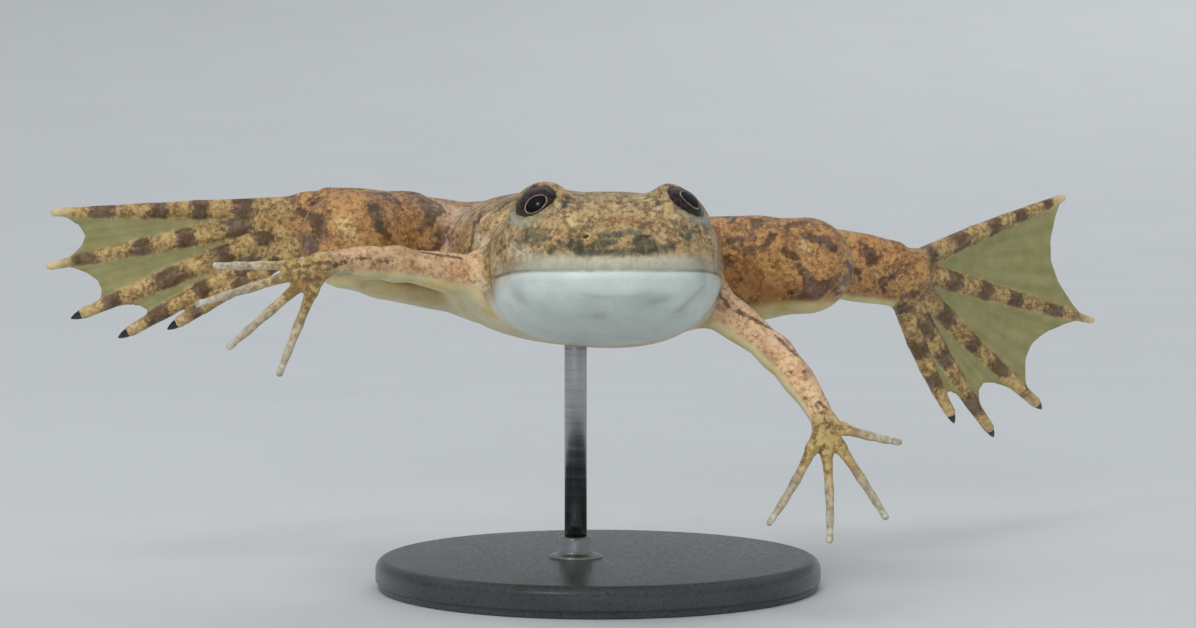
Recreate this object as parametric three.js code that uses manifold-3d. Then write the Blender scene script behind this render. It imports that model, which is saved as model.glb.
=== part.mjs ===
// A young African clawed frog (Xenopus laevis) afloat with its limbs spread, life size, held by a plain
// display stand. Millimetres. +Z is up and the frog faces -Y, so its own left side is at +X. The origin is
// the centre of the underside of the stand's base.
import * as THREE from "three";
import { mergeVertices } from "three/addons/utils/BufferGeometryUtils.js";
import Module from "manifold-3d";

const wasm = await Module();
wasm.setup();

const v = (x, y, z) => new THREE.Vector3(x, y, z);
const { lerp, smoothstep, degToRad } = THREE.MathUtils;

// Driving sizes
const SNOUT_TO_VENT = 60;
const HEAD_HALF_WIDTH = 10.5;
const TRUNK_HALF_WIDTH = 13.3;
const JAW_ANGLE_AT = 16; // how far behind the snout tip the head is widest
const NECK_AT = 19;
const EYE_RIM = 2.05; // radius of the opening between the lids
const GAP = 0.3; // the thin cut between neighbouring pieces
const WEB_THICKNESS = 0.56;

// The spine line starts at the mouth, at the tip of the snout, and runs back with a slow bend to the right.
const SNOUT = v(1.65, -35.5, 32.2);
const HEAD_YAW = degToRad(2.5);
const RUMP_YAW = degToRad(13.5);
const ROLL = degToRad(6); // the trunk banks to the frog's left, the head stays level
const DROOP = degToRad(2); // the rump floats a little lower than the head
const TRUNK_RISE = 0.5; // how far the trunk's middle lies above the line of the mouth

function spine(at) {
  const slope = Math.tan(HEAD_YAW);
  const bend = (Math.tan(RUMP_YAW) - slope) / (2 * SNOUT_TO_VENT);
  const rise = TRUNK_RISE * smoothstep(at, 14, 34);
  return v(
    SNOUT.x - slope * at - bend * at * at,
    SNOUT.y + 0.99 * at,
    SNOUT.z - Math.tan(DROOP) * at + rise,
  );
}

// Directions at a station: back along the spine, to the frog's left, and up.
function spineFrame(at) {
  const back = spine(at + 0.5).sub(spine(at - 0.5)).normalize();
  const level = back.clone().cross(v(0, 0, 1)).normalize();
  const left = level.applyAxisAngle(back, ROLL * smoothstep(at, 14, 34));
  return { back, left, up: left.clone().cross(back).normalize() };
}

// A point given by its station and its distances to the left of the spine line and above it.
function onBody(at, left, up) {
  const frame = spineFrame(at);
  return spine(at).addScaledVector(frame.left, left).addScaledVector(frame.up, up);
}

// Sizes along the body: distance behind the snout tip, half width, height above the spine line and depth
// below it.
const STATIONS = [
  { at: 0, half: 9.8, above: 2.0, below: 1.6 },
  { at: 2, half: 9.9, above: 3.1, below: 2.4 },
  { at: 4, half: 10.0, above: 4.5, below: 3.3 },
  { at: 6, half: 10.1, above: 5.7, below: 4.1 },
  { at: 8, half: 10.2, above: 6.5, below: 4.8 },
  { at: 11, half: 10.3, above: 7.1, below: 5.7 },
  { at: JAW_ANGLE_AT, half: HEAD_HALF_WIDTH, above: 7.3, below: 6.6 },
  { at: 22, half: 11.2, above: 7.3, below: 7.1 },
  { at: 30, half: 12.5, above: 7.3, below: 7.5 },
  { at: 38, half: TRUNK_HALF_WIDTH, above: 7.3, below: 7.6 },
  { at: 46, half: 12.4, above: 6.8, below: 7.0 },
  { at: 53, half: 9.6, above: 5.8, below: 5.8 },
  { at: SNOUT_TO_VENT, half: 6.5, above: 4.6, below: 4.4 },
];

// A smooth curve through one column of the stations.
function size(key, at) {
  const last = STATIONS.length - 1;
  const i = Math.max(1, STATIONS.findIndex((row) => row.at >= at));
  const [a, b] = [STATIONS[i - 1], STATIONS[i]];
  const before = STATIONS[Math.max(0, i - 2)];
  const after = STATIONS[Math.min(last, i + 1)];
  const span = b.at - a.at;
  const t = (at - a.at) / span;
  const slopeA = ((b[key] - before[key]) / (b.at - before.at)) * span;
  const slopeB = ((after[key] - a[key]) / (after.at - a.at)) * span;
  const [t2, t3] = [t * t, t * t * t];
  return (
    a[key] * (2 * t3 - 3 * t2 + 1) +
    slopeA * (t3 - 2 * t2 + t) +
    b[key] * (3 * t2 - 2 * t3) +
    slopeB * (t3 - t2)
  );
}

// How a size grows from nothing at a rounded end: 0 at the end, 1 from reach onwards.
function rounded(distance, reach, power = 2.2) {
  const left = Math.max(0, 1 - distance / reach);
  return Math.sqrt(Math.max(0, 1 - left ** power));
}

// Half width, height and depth of the body, with its round snout and rump.
const SNOUT_PLAN = 14; // the snout is round in plan over this length
const LIP_PROFILE = 1.6; // seen from the side only the lips are round, over this length
const RUMP_PLAN = 9;
function bodySize(at) {
  const rump = rounded(SNOUT_TO_VENT - at, RUMP_PLAN);
  return {
    half: size("half", at) * rounded(at, SNOUT_PLAN) * rump,
    above: size("above", at) * rounded(at, LIP_PROFILE) * rump,
    below: size("below", at) * rounded(at, LIP_PROFILE) * rump,
  };
}

// Mesh and solid helpers

function solidOf(geometry) {
  const plain = geometry.clone();
  for (const name of ["normal", "uv"]) plain.deleteAttribute(name);
  const merged = mergeVertices(plain, 1e-4);
  return new wasm.Manifold(
    new wasm.Mesh({
      numProp: 3,
      vertProperties: merged.getAttribute("position").array,
      triVerts: new Uint32Array(merged.index.array),
    }),
  );
}

function geometryOf(solid) {
  const { numProp, numVert, vertProperties, triVerts } = solid.getMesh();
  const positions = new Float32Array(numVert * 3);
  for (let i = 0; i < numVert; i++) {
    positions.set(vertProperties.subarray(i * numProp, i * numProp + 3), i * 3);
  }
  const geometry = new THREE.BufferGeometry();
  geometry.setAttribute("position", new THREE.BufferAttribute(positions, 3));
  geometry.setIndex(new THREE.BufferAttribute(triVerts, 1));
  geometry.computeVertexNormals();
  return geometry;
}

// A closed skin over rings of points, with a single point at each end.
function skinOver(first, rings, last) {
  const positions = [first, ...rings.flat(), last].flatMap((p) => p.toArray());
  const sides = rings[0].length;
  const vertex = (ring, side) => 1 + ring * sides + (side % sides);
  const lastVertex = 1 + rings.length * sides;
  const faces = [];
  for (let side = 0; side < sides; side++) {
    faces.push(0, vertex(0, side + 1), vertex(0, side));
    faces.push(lastVertex, vertex(rings.length - 1, side), vertex(rings.length - 1, side + 1));
    for (let ring = 1; ring < rings.length; ring++) {
      const [a, b] = [vertex(ring - 1, side), vertex(ring - 1, side + 1)];
      const [c, d] = [vertex(ring, side), vertex(ring, side + 1)];
      faces.push(a, b, c, b, d, c);
    }
  }
  const geometry = new THREE.BufferGeometry();
  geometry.setAttribute("position", new THREE.Float32BufferAttribute(positions, 3));
  geometry.setIndex(faces);
  return solidOf(geometry);
}

// The head and trunk in one: superellipse sections along the spine. grow makes it larger all round.
function bodySolid(grow = 0, rings = 24, sides = 24) {
  const squareness = 2.5;
  const power = (x) => Math.sign(x) * Math.abs(x) ** (2 / squareness);
  const ringAt = (at) => {
    const { half, above, below } = bodySize(at);
    return Array.from({ length: sides }, (_, i) => {
      const angle = (2 * Math.PI * i) / sides;
      const tall = Math.sin(angle) > 0 ? above : below;
      const across = (half + grow) * power(Math.cos(angle));
      return onBody(at, -across, (tall + grow) * power(Math.sin(angle)));
    });
  };
  const stations = Array.from({ length: rings }, (_, i) => {
    const turn = (Math.PI * (i + 0.6)) / (rings + 0.2);
    return (SNOUT_TO_VENT * (1 - Math.cos(turn))) / 2;
  });
  const ahead = onBody(-grow, 0, 0);
  return skinOver(ahead, stations.map(ringAt), onBody(SNOUT_TO_VENT + grow, 0, 0));
}

// A length of limb: a round or flattened spindle along a slightly bowed line, with domed ends.
// radii are [share of the length, radius]. wide and thick stretch the section, across is its wide way.
function spindle({ from, to, bow = v(0, 0, 0), radii, wide = 1, thick = 1, across = v(0, 0, 1) }, grow = 0,
  { sides = 10, steps = 5 } = {}) {
  const middle = from.clone().add(to).multiplyScalar(0.5).addScaledVector(bow, 2);
  const line = new THREE.QuadraticBezierCurve3(from, middle, to);
  const radiusAt = (t) => {
    const i = Math.max(1, radii.findIndex(([share]) => share >= t));
    const [[t0, r0], [t1, r1]] = [radii[i - 1], radii[i]];
    return lerp(r0, r1, smoothstep(t, t0, t1)) + grow;
  };
  const ringAt = (t, shift = 0, scale = 1) => {
    const along = line.getTangent(t);
    const side = across.clone().addScaledVector(along, -across.dot(along)).normalize();
    const normal = along.clone().cross(side);
    const radius = radiusAt(t);
    const centre = line.getPoint(t).addScaledVector(along, shift * radius);
    return Array.from({ length: sides }, (_, i) => {
      const angle = (2 * Math.PI * i) / sides;
      return centre.clone()
        .addScaledVector(side, scale * radius * wide * Math.cos(angle))
        .addScaledVector(normal, scale * radius * thick * Math.sin(angle));
    });
  };
  const domes = [60, 30].map(degToRad);
  const start = domes.map((turn) => ringAt(0, -Math.sin(turn), Math.cos(turn)));
  const end = domes.map((turn) => ringAt(1, Math.sin(turn), Math.cos(turn))).reverse();
  const between = Array.from({ length: steps + 1 }, (_, i) => ringAt(i / steps));
  const tip = (t, way) => line.getPoint(t).addScaledVector(line.getTangent(t), way * radiusAt(t));
  return skinOver(tip(0, -1), [...start, ...between, ...end], tip(1, 1));
}

const ball = (centre, radius, sides = 14) =>
  solidOf(new THREE.SphereGeometry(radius, sides, sides / 2 + 1).translate(centre.x, centre.y, centre.z));

// Everything on one side of a plane: a big block whose face lies on the plane.
function halfSpace(point, outward) {
  const reach = 200;
  const block = new THREE.BoxGeometry(reach, reach, reach).translate(0, 0, reach / 2);
  const turn = new THREE.Quaternion().setFromUnitVectors(v(0, 0, 1), outward.clone().normalize());
  return solidOf(block.applyQuaternion(turn).translate(point.x, point.y, point.z));
}

// Places of the joints and tips, one table for each side. The pose is not symmetric.
const SIDES = {
  left: {
    sign: 1,
    elbow: v(16.7, -18, 24.2),
    wrist: v(20.6, -22.5, 17.9),
    fingers: [v(15.4, -25, 9.3), v(20.8, -25, 7.7), v(25.8, -25, 9.8), v(26.5, -29, 16.9)],
    knee: v(20.5, 1.5, 31.7),
    ankle: v(22.5, 24, 31.9),
    toeRoot: v(33.4, 26, 30.0),
    // from the innermost toe to the outermost
    toes: [
      v(38.7, 29.9, 14.9),
      v(43.5, 33.6, 12.9),
      v(49.4, 38, 15.4),
      v(56.6, 43.5, 24.4),
      v(52.7, 40.6, 38.4),
    ],
    webDips: [0.12, 0.16, 0.14, 0.12],
    lid: v(0.594, -0.454, 0.664), // the way the opening between the lids faces
  },
  right: {
    sign: -1,
    elbow: v(-18.6, -22, 32.6),
    wrist: v(-24.2, -29.5, 32.5),
    fingers: [v(-27.8, -31, 23.1), v(-32, -32, 25.5), v(-34.7, -32, 29.2), v(-33.3, -31, 32.5)],
    knee: v(-23.9, -6, 34.4),
    ankle: v(-20, 17.5, 35.2),
    toeRoot: v(-30.3, 19.5, 36.2),
    toes: [
      v(-44, 17.2, 25.4),
      v(-49, 16.4, 24.5),
      v(-53.7, 15.6, 26.4),
      v(-57.1, 15, 31.3),
      v(-56.6, 15.1, 36.9),
    ],
    webDips: [0.1, 0.08, 0.07, 0.1],
    lid: v(-0.393, -0.707, 0.588),
  },
};

const SKIN = new THREE.MeshStandardMaterial({ color: 0xb08a55, roughness: 0.42, metalness: 0 });
const PALE_SKIN = new THREE.MeshStandardMaterial({ color: 0xc9cfc4, roughness: 0.42, metalness: 0 });
const WEB_SKIN = new THREE.MeshStandardMaterial({ color: 0x9a9256, roughness: 0.4, metalness: 0 });
const EYE = new THREE.MeshStandardMaterial({ color: 0x17141a, roughness: 0.08, metalness: 0 });
const CLAW = new THREE.MeshStandardMaterial({ color: 0x15120f, roughness: 0.35, metalness: 0 });
const STEEL = new THREE.MeshStandardMaterial({ color: 0xb9babd, roughness: 0.35, metalness: 1 });

const frog = new THREE.Group();
function add(name, solid, material) {
  const mesh = new THREE.Mesh(geometryOf(solid), material);
  mesh.name = name;
  frog.add(mesh);
}
const cut = (solid, ...tools) => tools.reduce((rest, tool) => rest.subtract(tool), solid);

// Head, lower jaw and trunk

const EYE_AT = 8.5;
const EYE_ASIDE = 6.6;
const EYE_ABOVE = 5.9;
const CORNEA_RADIUS = 2.6; // the eye is a shallow cap of a ball of this size
const EYE_BACK = 0.5; // how far the cap reaches behind the lids
const MOUND_RADIUS = 2.8;
const NOSTRIL = { at: 1.45, aside: 2.5, above: 2.62, radius: 0.45 };

// The eye, the mound it sits on and a cut that leaves a gap round it.
function eyeSolids({ sign, lid }) {
  const centre = onBody(EYE_AT, sign * EYE_ASIDE, EYE_ABOVE);
  const outAlong = (distance) => centre.clone().addScaledVector(lid, distance);
  const middle = outAlong(-Math.sqrt(CORNEA_RADIUS ** 2 - EYE_RIM ** 2));
  const back = (grow) => halfSpace(outAlong(-EYE_BACK - grow), lid);
  const cap = (grow) => ball(middle, CORNEA_RADIUS + grow, 14).intersect(back(grow));
  const mound = ball(outAlong(-0.95), MOUND_RADIUS, 12).intersect(halfSpace(centre, lid.clone().negate()));
  return { eye: cap(0), socket: cap(GAP), mound };
}

function buildBody() {
  const whole = bodySolid();
  const eyes = { left: eyeSolids(SIDES.left), right: eyeSolids(SIDES.right) };
  const neck = spineFrame(NECK_AT);
  const front = halfSpace(onBody(NECK_AT - GAP / 2, 0, 0), neck.back.clone().negate());
  const behind = halfSpace(onBody(NECK_AT + GAP / 2, 0, 0), neck.back);
  const mouth = spineFrame(JAW_ANGLE_AT / 2);
  const over = halfSpace(onBody(JAW_ANGLE_AT / 2, 0, GAP / 2), mouth.up);
  const under = halfSpace(onBody(JAW_ANGLE_AT / 2, 0, -GAP / 2), mouth.up.clone().negate());
  const nostrils = [1, -1].map((sign) =>
    ball(onBody(NOSTRIL.at, sign * NOSTRIL.aside, NOSTRIL.above), NOSTRIL.radius, 8));
  const headFront = whole.intersect(front);
  const face = headFront.intersect(over).add(eyes.left.mound).add(eyes.right.mound);
  add("head", cut(face, eyes.left.socket, eyes.right.socket, ...nostrils), SKIN);
  add("lower_jaw", headFront.intersect(under), PALE_SKIN);
  add("trunk", whole.intersect(behind), SKIN);
  add("eye_left", eyes.left.eye, EYE);
  add("eye_right", eyes.right.eye, EYE);
}

// Arms and hands

const SHOULDER = { at: 21, aside: 8.5, above: -1.5 };

function buildArm(side, { sign, elbow, wrist, fingers }) {
  const shoulder = onBody(SHOULDER.at, sign * SHOULDER.aside, SHOULDER.above);
  const upper = { from: shoulder, to: elbow, radii: [[0, 2.5], [0.4, 1.95], [1, 1.6]] };
  const fore = { from: elbow, to: wrist, radii: [[0, 1.5], [0.35, 1.55], [1, 1.1]] };
  add(`upper_arm_${side}`, cut(spindle(upper), bodySolid(GAP)), SKIN);
  add(`forearm_${side}`, cut(spindle(fore), spindle(upper, GAP)), SKIN);

  const knuckleShare = 0.24;
  const knuckles = fingers.map((tip) => wrist.clone().lerp(tip, knuckleShare));
  const bone = (knuckle) => ({ from: wrist, to: knuckle, radii: [[0, 0.98], [1, 0.66]] });
  const palmOf = (grow) =>
    knuckles.map((k) => spindle(bone(k), grow, { sides: 7, steps: 1 })).reduce((a, b) => a.add(b));
  add(`hand_${side}`, cut(palmOf(0), spindle(fore, GAP)), SKIN);

  const palm = palmOf(GAP);
  const made = [];
  fingers.forEach((tip, i) => {
    const shape = { from: knuckles[i], to: tip, radii: [[0, 0.58], [0.5, 0.48], [1, 0.38]] };
    const finger = spindle(shape, 0, { sides: 7, steps: 2 });
    add(`finger_${side}_${i + 1}`, cut(finger, palm, ...made), SKIN);
    made.push(spindle(shape, GAP, { sides: 7, steps: 2 }));
  });
}

// Legs and feet

const HIP = { at: 50, aside: 5.5, above: 0 };
const TOE_RADII = [[0, 1.15], [0.5, 0.95], [1, 0.6]];
const TOE_SPREAD = 0.95; // distance between the roots of neighbouring toes
const CLAW_LENGTH = 1.7;
const CLAWED_TOES = 3;

// The web between two neighbouring toes: a thin sheet that hangs back in an arc between their tips.
function web(lineA, lineB, reachA, reachB, dip) {
  const [steps, strips] = [5, 3];
  const at = (i, j) => {
    const share = j / strips;
    const reach = lerp(reachA, reachB, share) - dip * 4 * share * (1 - share);
    const t = (i / steps) * reach;
    return lineA(t).lerp(lineB(t), share);
  };
  const flat = lineA(0.8).sub(lineA(0.1)).cross(lineB(0.8).sub(lineA(0.1))).normalize();
  const shift = flat.multiplyScalar(WEB_THICKNESS / 2);
  const rim = [];
  for (let i = 1; i < steps; i++) rim.push([i, 0]);
  for (let j = 0; j < strips; j++) rim.push([steps, j]);
  for (let i = steps; i > 1; i--) rim.push([i, strips]);
  for (let j = strips; j > 0; j--) rim.push([1, j]);
  const positions = [];
  const index = (i, j, face) => 2 * ((i - 1) * (strips + 1) + j) + face;
  for (let i = 1; i <= steps; i++) {
    for (let j = 0; j <= strips; j++) {
      positions.push(...at(i, j).sub(shift).toArray(), ...at(i, j).add(shift).toArray());
    }
  }
  const faces = [];
  const quad = (a, b, c, d) => faces.push(a, b, c, a, c, d);
  for (let i = 1; i < steps; i++) {
    for (let j = 0; j < strips; j++) {
      const corners = [[i, j], [i + 1, j], [i + 1, j + 1], [i, j + 1]];
      quad(...corners.map(([p, q]) => index(p, q, 1)));
      quad(...corners.map(([p, q]) => index(p, q, 0)).reverse());
    }
  }
  rim.forEach(([i, j], k) => {
    const [p, q] = rim[(k + 1) % rim.length];
    quad(index(i, j, 0), index(p, q, 0), index(p, q, 1), index(i, j, 1));
  });
  const geometry = new THREE.BufferGeometry();
  geometry.setAttribute("position", new THREE.Float32BufferAttribute(positions, 3));
  geometry.setIndex(faces);
  return solidOf(geometry);
}

function buildLeg(side, { sign, knee, ankle, toeRoot, toes, webDips }) {
  const hip = onBody(HIP.at, sign * HIP.aside, HIP.above);
  const thigh = { from: hip, to: knee, radii: [[0, 5.0], [0.35, 5.9], [0.75, 5.4], [1, 4.5]] };
  const shank = { from: knee, to: ankle, radii: [[0, 4.3], [0.35, 4.6], [0.8, 3.7], [1, 3.5]] };
  const ankleRadii = [[0, 2.8], [0.45, 3.5], [1, 3.1]];
  const tarsus = { from: ankle, to: toeRoot, radii: ankleRadii, wide: 1.1, thick: 0.85 };
  const body = bodySolid(GAP);
  add(`thigh_${side}`, cut(spindle(thigh), body), SKIN);
  add(`shank_${side}`, cut(spindle(shank), spindle(thigh, GAP), body), SKIN);
  add(`ankle_${side}`, cut(spindle(tarsus), spindle(shank, GAP), spindle(thigh, GAP)), SKIN);

  const small = { sides: 7, steps: 3 };
  const width = toes[4].clone().sub(toes[0]).normalize();
  const roots = toes.map((_, i) => toeRoot.clone().addScaledVector(width, (i - 2) * TOE_SPREAD));
  const shapes = toes.map((tip, i) => ({ from: roots[i], to: tip, radii: TOE_RADII }));
  const lines = shapes.map(({ from, to }) => (t) => from.clone().lerp(to, t));
  const reaches = [0.86, 0.86, 0.9, 0.93, 0.97];
  const webs = webDips.map((dip, i) => web(lines[i], lines[i + 1], reaches[i], reaches[i + 1], dip));
  const whole = [...shapes.map((shape) => spindle(shape, 0, small)), ...webs].reduce((a, b) => a.add(b));
  const claw = (i) => {
    const along = toes[i].clone().sub(roots[i]).normalize();
    return {
      from: toes[i],
      to: toes[i].clone().addScaledVector(along, CLAW_LENGTH),
      radii: [[0, 0.56], [1, 0.16]],
    };
  };
  const claws = Array.from({ length: CLAWED_TOES }, (_, i) => claw(i));
  const tiny = { sides: 6, steps: 2 };
  const sockets = claws.map((c) => spindle(c, GAP, tiny));
  add(`foot_${side}`, cut(whole, spindle(tarsus, GAP), ...sockets), WEB_SKIN);
  claws.forEach((c, i) => add(`claw_${side}_${i + 1}`, spindle(c, 0, tiny), CLAW));
}

// The display stand: a flat round base, a collar and one rod up to the belly

const BASE_RADIUS = 22;
const BASE_HEIGHT = 3;
const ROD_RADIUS = 1.1;
const ROD_AT = v(-2.2, -1, 0);

function turned(profile, sides) {
  const points = profile.map(([radius, height]) => new THREE.Vector2(radius, height));
  return solidOf(new THREE.LatheGeometry(points, sides).rotateX(Math.PI / 2));
}

function buildStand() {
  const bevel = 0.8;
  const side = [[BASE_RADIUS, 0], [BASE_RADIUS, BASE_HEIGHT - bevel], [BASE_RADIUS - bevel, BASE_HEIGHT]];
  const base = turned([[0, 0], ...side, [0, BASE_HEIGHT]], 40);
  const foot = BASE_HEIGHT + GAP;
  const collar = turned([[0, foot], [2.6, foot], [2.6, foot + 1], [1.9, foot + 1.8], [0, foot + 1.8]], 18)
    .translate([ROD_AT.x, ROD_AT.y, 0]);
  const rod = turned([[0, foot + 1.8 + GAP], [ROD_RADIUS, foot + 1.8 + GAP], [ROD_RADIUS, 32], [0, 32]], 16)
    .translate([ROD_AT.x, ROD_AT.y, 0]);
  add("stand_base", base, STEEL);
  add("stand_collar", collar, STEEL);
  add("stand_rod", cut(rod, bodySolid(GAP)), STEEL);
}

buildBody();
for (const [side, places] of Object.entries(SIDES)) {
  buildArm(side, places);
  buildLeg(side, places);
}
buildStand();

export default frog;
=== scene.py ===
"""A young African clawed frog afloat with its limbs spread, on a plain display stand: its look in Blender.

The skin is one closed surface round all the flesh. It is worked out as a field of distances, negative inside,
from the same sizes as the solids, turned into a mesh, and drawn onto the exact surface. Sizes are in
millimetres until a mesh is made.
"""

import math
from functools import partial, reduce

import bpy
import numpy as np
import openvdb
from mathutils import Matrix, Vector
from mathutils.bvhtree import BVHTree


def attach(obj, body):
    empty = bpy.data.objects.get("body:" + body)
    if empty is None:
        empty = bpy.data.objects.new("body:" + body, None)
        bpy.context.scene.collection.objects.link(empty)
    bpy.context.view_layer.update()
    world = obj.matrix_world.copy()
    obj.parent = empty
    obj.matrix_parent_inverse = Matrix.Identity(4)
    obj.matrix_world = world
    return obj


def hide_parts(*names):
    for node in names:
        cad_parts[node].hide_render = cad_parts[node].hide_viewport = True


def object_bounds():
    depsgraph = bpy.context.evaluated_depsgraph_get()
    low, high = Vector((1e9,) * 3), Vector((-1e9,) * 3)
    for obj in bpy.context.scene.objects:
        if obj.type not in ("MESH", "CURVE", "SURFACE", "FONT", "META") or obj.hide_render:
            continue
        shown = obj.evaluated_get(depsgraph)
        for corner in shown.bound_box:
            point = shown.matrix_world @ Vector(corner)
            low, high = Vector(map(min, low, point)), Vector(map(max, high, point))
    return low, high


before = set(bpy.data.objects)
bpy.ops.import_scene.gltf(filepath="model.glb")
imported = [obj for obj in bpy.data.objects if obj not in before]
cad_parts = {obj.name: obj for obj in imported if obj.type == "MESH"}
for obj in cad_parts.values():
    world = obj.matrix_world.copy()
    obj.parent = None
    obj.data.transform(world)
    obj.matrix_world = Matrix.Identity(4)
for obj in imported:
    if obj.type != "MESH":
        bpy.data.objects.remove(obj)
CAD_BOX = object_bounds()
MM = 0.001
FAR = 1e3
TURN = 2 * math.pi


def vec(x, y, z):
    return np.array([x, y, z], float)


def unit(v):
    return v / np.linalg.norm(v, axis=-1, keepdims=True)


def smoothstep(x, low, high):
    t = np.clip((x - low) / (high - low), 0, 1)
    return t * t * (3 - 2 * t)


def mix(a, b, share):
    return a + (b - a) * share


def hump(x, middle, reach):
    """One at the middle, falling to nothing within about twice the reach."""
    return np.exp(-(((x - middle) / reach) ** 2))


def soft_min(a, b, reach):
    """The nearer of two surfaces, with a fillet of about this reach between them."""
    h = np.clip(0.5 + 0.5 * (b - a) / reach, 0, 1)
    return b + (a - b) * h - reach * h * (1 - h)


def soft_max(a, b, reach):
    return -soft_min(-a, -b, reach)


def dot(a, b):
    return np.einsum("ij,ij->i", a, b)


def window(x, low, full, fall, high):
    """One between full and fall, nothing below low or above high."""
    return smoothstep(x, low, full) * (1 - smoothstep(x, fall, high))


def around(p, centre, axis):
    """Offset of each point from a centre, how far it is out along an axis and how far from the axis."""
    off = p - centre
    out = off @ axis
    return off, out, np.linalg.norm(off - out[:, None] * axis, axis=1)


# Sizes of the body: the same as the solids have

SNOUT_TO_VENT = 60.0
SNOUT = vec(1.65, -35.5, 32.2)
HEAD_YAW = math.radians(2.5)
RUMP_YAW = math.radians(13.5)
ROLL = math.radians(6)
DROOP = math.radians(2)
TRUNK_RISE = 0.5
TURNING = (14, 34)  # stations between which the trunk rises and rolls
SPINE_STEP = 0.99  # how far back a step along the spine reaches
SLOPE = math.tan(HEAD_YAW)
BEND = (math.tan(RUMP_YAW) - SLOPE) / (2 * SNOUT_TO_VENT)

# distance behind the snout tip, half width, height above the spine line, depth below it
STATIONS = np.array(
    [
        [0, 9.8, 2.0, 1.6],
        [2, 9.9, 3.1, 2.4],
        [4, 10.0, 4.5, 3.3],
        [6, 10.1, 5.7, 4.1],
        [8, 10.2, 6.5, 4.8],
        [11, 10.3, 7.1, 5.7],
        [16, 10.5, 7.3, 6.6],
        [22, 11.2, 7.3, 7.1],
        [30, 12.5, 7.3, 7.5],
        [38, 13.3, 7.3, 7.6],
        [46, 12.4, 6.8, 7.0],
        [53, 9.6, 5.8, 5.8],
        [60, 6.5, 4.6, 4.4],
    ]
)
SNOUT_PLAN = 14.0
LIP_PROFILE = 1.6
RUMP_PLAN = 9.0
SQUARENESS = 2.5

# Places of the joints and tips, and the directions the lids and pupils face

SIDES = {
    "left": {
        "sign": 1,
        "elbow": vec(16.7, -18, 24.2),
        "wrist": vec(20.6, -22.5, 17.9),
        "fingers": [vec(15.4, -25, 9.3), vec(20.8, -25, 7.7), vec(25.8, -25, 9.8), vec(26.5, -29, 16.9)],
        "knee": vec(20.5, 1.5, 31.7),
        "ankle": vec(22.5, 24, 31.9),
        "toe_root": vec(33.4, 26, 30.0),
        "toes": [
            vec(38.7, 29.9, 14.9),
            vec(43.5, 33.6, 12.9),
            vec(49.4, 38, 15.4),
            vec(56.6, 43.5, 24.4),
            vec(52.7, 40.6, 38.4),
        ],
        "lid": vec(0.594, -0.454, 0.664),
        "gaze": vec(0.559, -0.545, 0.625),
        "web_dips": [0.12, 0.16, 0.14, 0.12],
        "arm_underside": vec(-0.75, -0.1, -0.65),
        "toe_bands": [(3.2, 0.1), (3.6, 0.6), (4.4, 0.25), (5.1, 0.45), (4.8, 0.02)],
    },
    "right": {
        "sign": -1,
        "elbow": vec(-18.6, -22, 32.6),
        "wrist": vec(-24.2, -29.5, 32.5),
        "fingers": [vec(-27.8, -31, 23.1), vec(-32, -32, 25.5), vec(-34.7, -32, 29.2), vec(-33.3, -31, 32.5)],
        "knee": vec(-23.9, -6, 34.4),
        "ankle": vec(-20, 17.5, 35.2),
        "toe_root": vec(-30.3, 19.5, 36.2),
        "toes": [
            vec(-44, 17.2, 25.4),
            vec(-49, 16.4, 24.5),
            vec(-53.7, 15.6, 26.4),
            vec(-57.1, 15, 31.3),
            vec(-56.6, 15.1, 36.9),
        ],
        "lid": vec(-0.393, -0.707, 0.588),
        "gaze": vec(-0.278, -0.866, 0.416),
        "web_dips": [0.1, 0.08, 0.07, 0.1],
        "arm_underside": vec(0.1, -0.2, -1.0),
        "toe_bands": [(3.4, 0.4), (3.8, 0.15), (4.4, 0.7), (4.8, 0.3), (5.0, 0.5)],
    },
}

EYE = {"at": 8.5, "aside": 6.6, "above": 5.9}
EYE_RIM = 2.05  # radius of the opening between the lids
CORNEA = 2.6  # radius of the ball that the eye is a cap of
CORNEA_DEPTH = math.sqrt(CORNEA**2 - EYE_RIM**2)
MOUND = 2.8  # radius of the mound the eye sits on
MOUND_DEPTH = 0.95
LID_THICK = 0.13
NOSTRIL = {"at": 1.45, "aside": 2.5, "above": 2.62}
NOSTRIL_RIM = 0.4
NOSTRIL_PIT = 0.26
WHISKER = {"at": 6.2, "aside": 8.1, "above": 2.7}
SHOULDER = {"at": 21.0, "aside": 8.5, "above": -1.5}
HIP = {"at": 50.0, "aside": 5.5, "above": 0.0}
KNUCKLE_SHARE = 0.24
TOE_SPREAD = 0.95
TOE_TIP = 0.6
BARE_TOE_TIP = 0.42
TOE_JOINTS = (0.42, 0.64, 0.82)
TOE_SWELL = 0.1
TOE_BOW = 0.7  # how far a toe's middle rises above the line from its root to its tip
FINGER_BOW = 0.25
ELBOW_BOW = 0.35  # how far the elbow is rounded off by bowing both lengths of the arm
WEB_REACHES = [0.9, 0.9, 0.93, 0.95, 0.98]
CLAWED_TOES = 3
MOUTH_ENDS_AT = 15.0


# The plain body: a loft of rounded sections along a curved spine line


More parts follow.
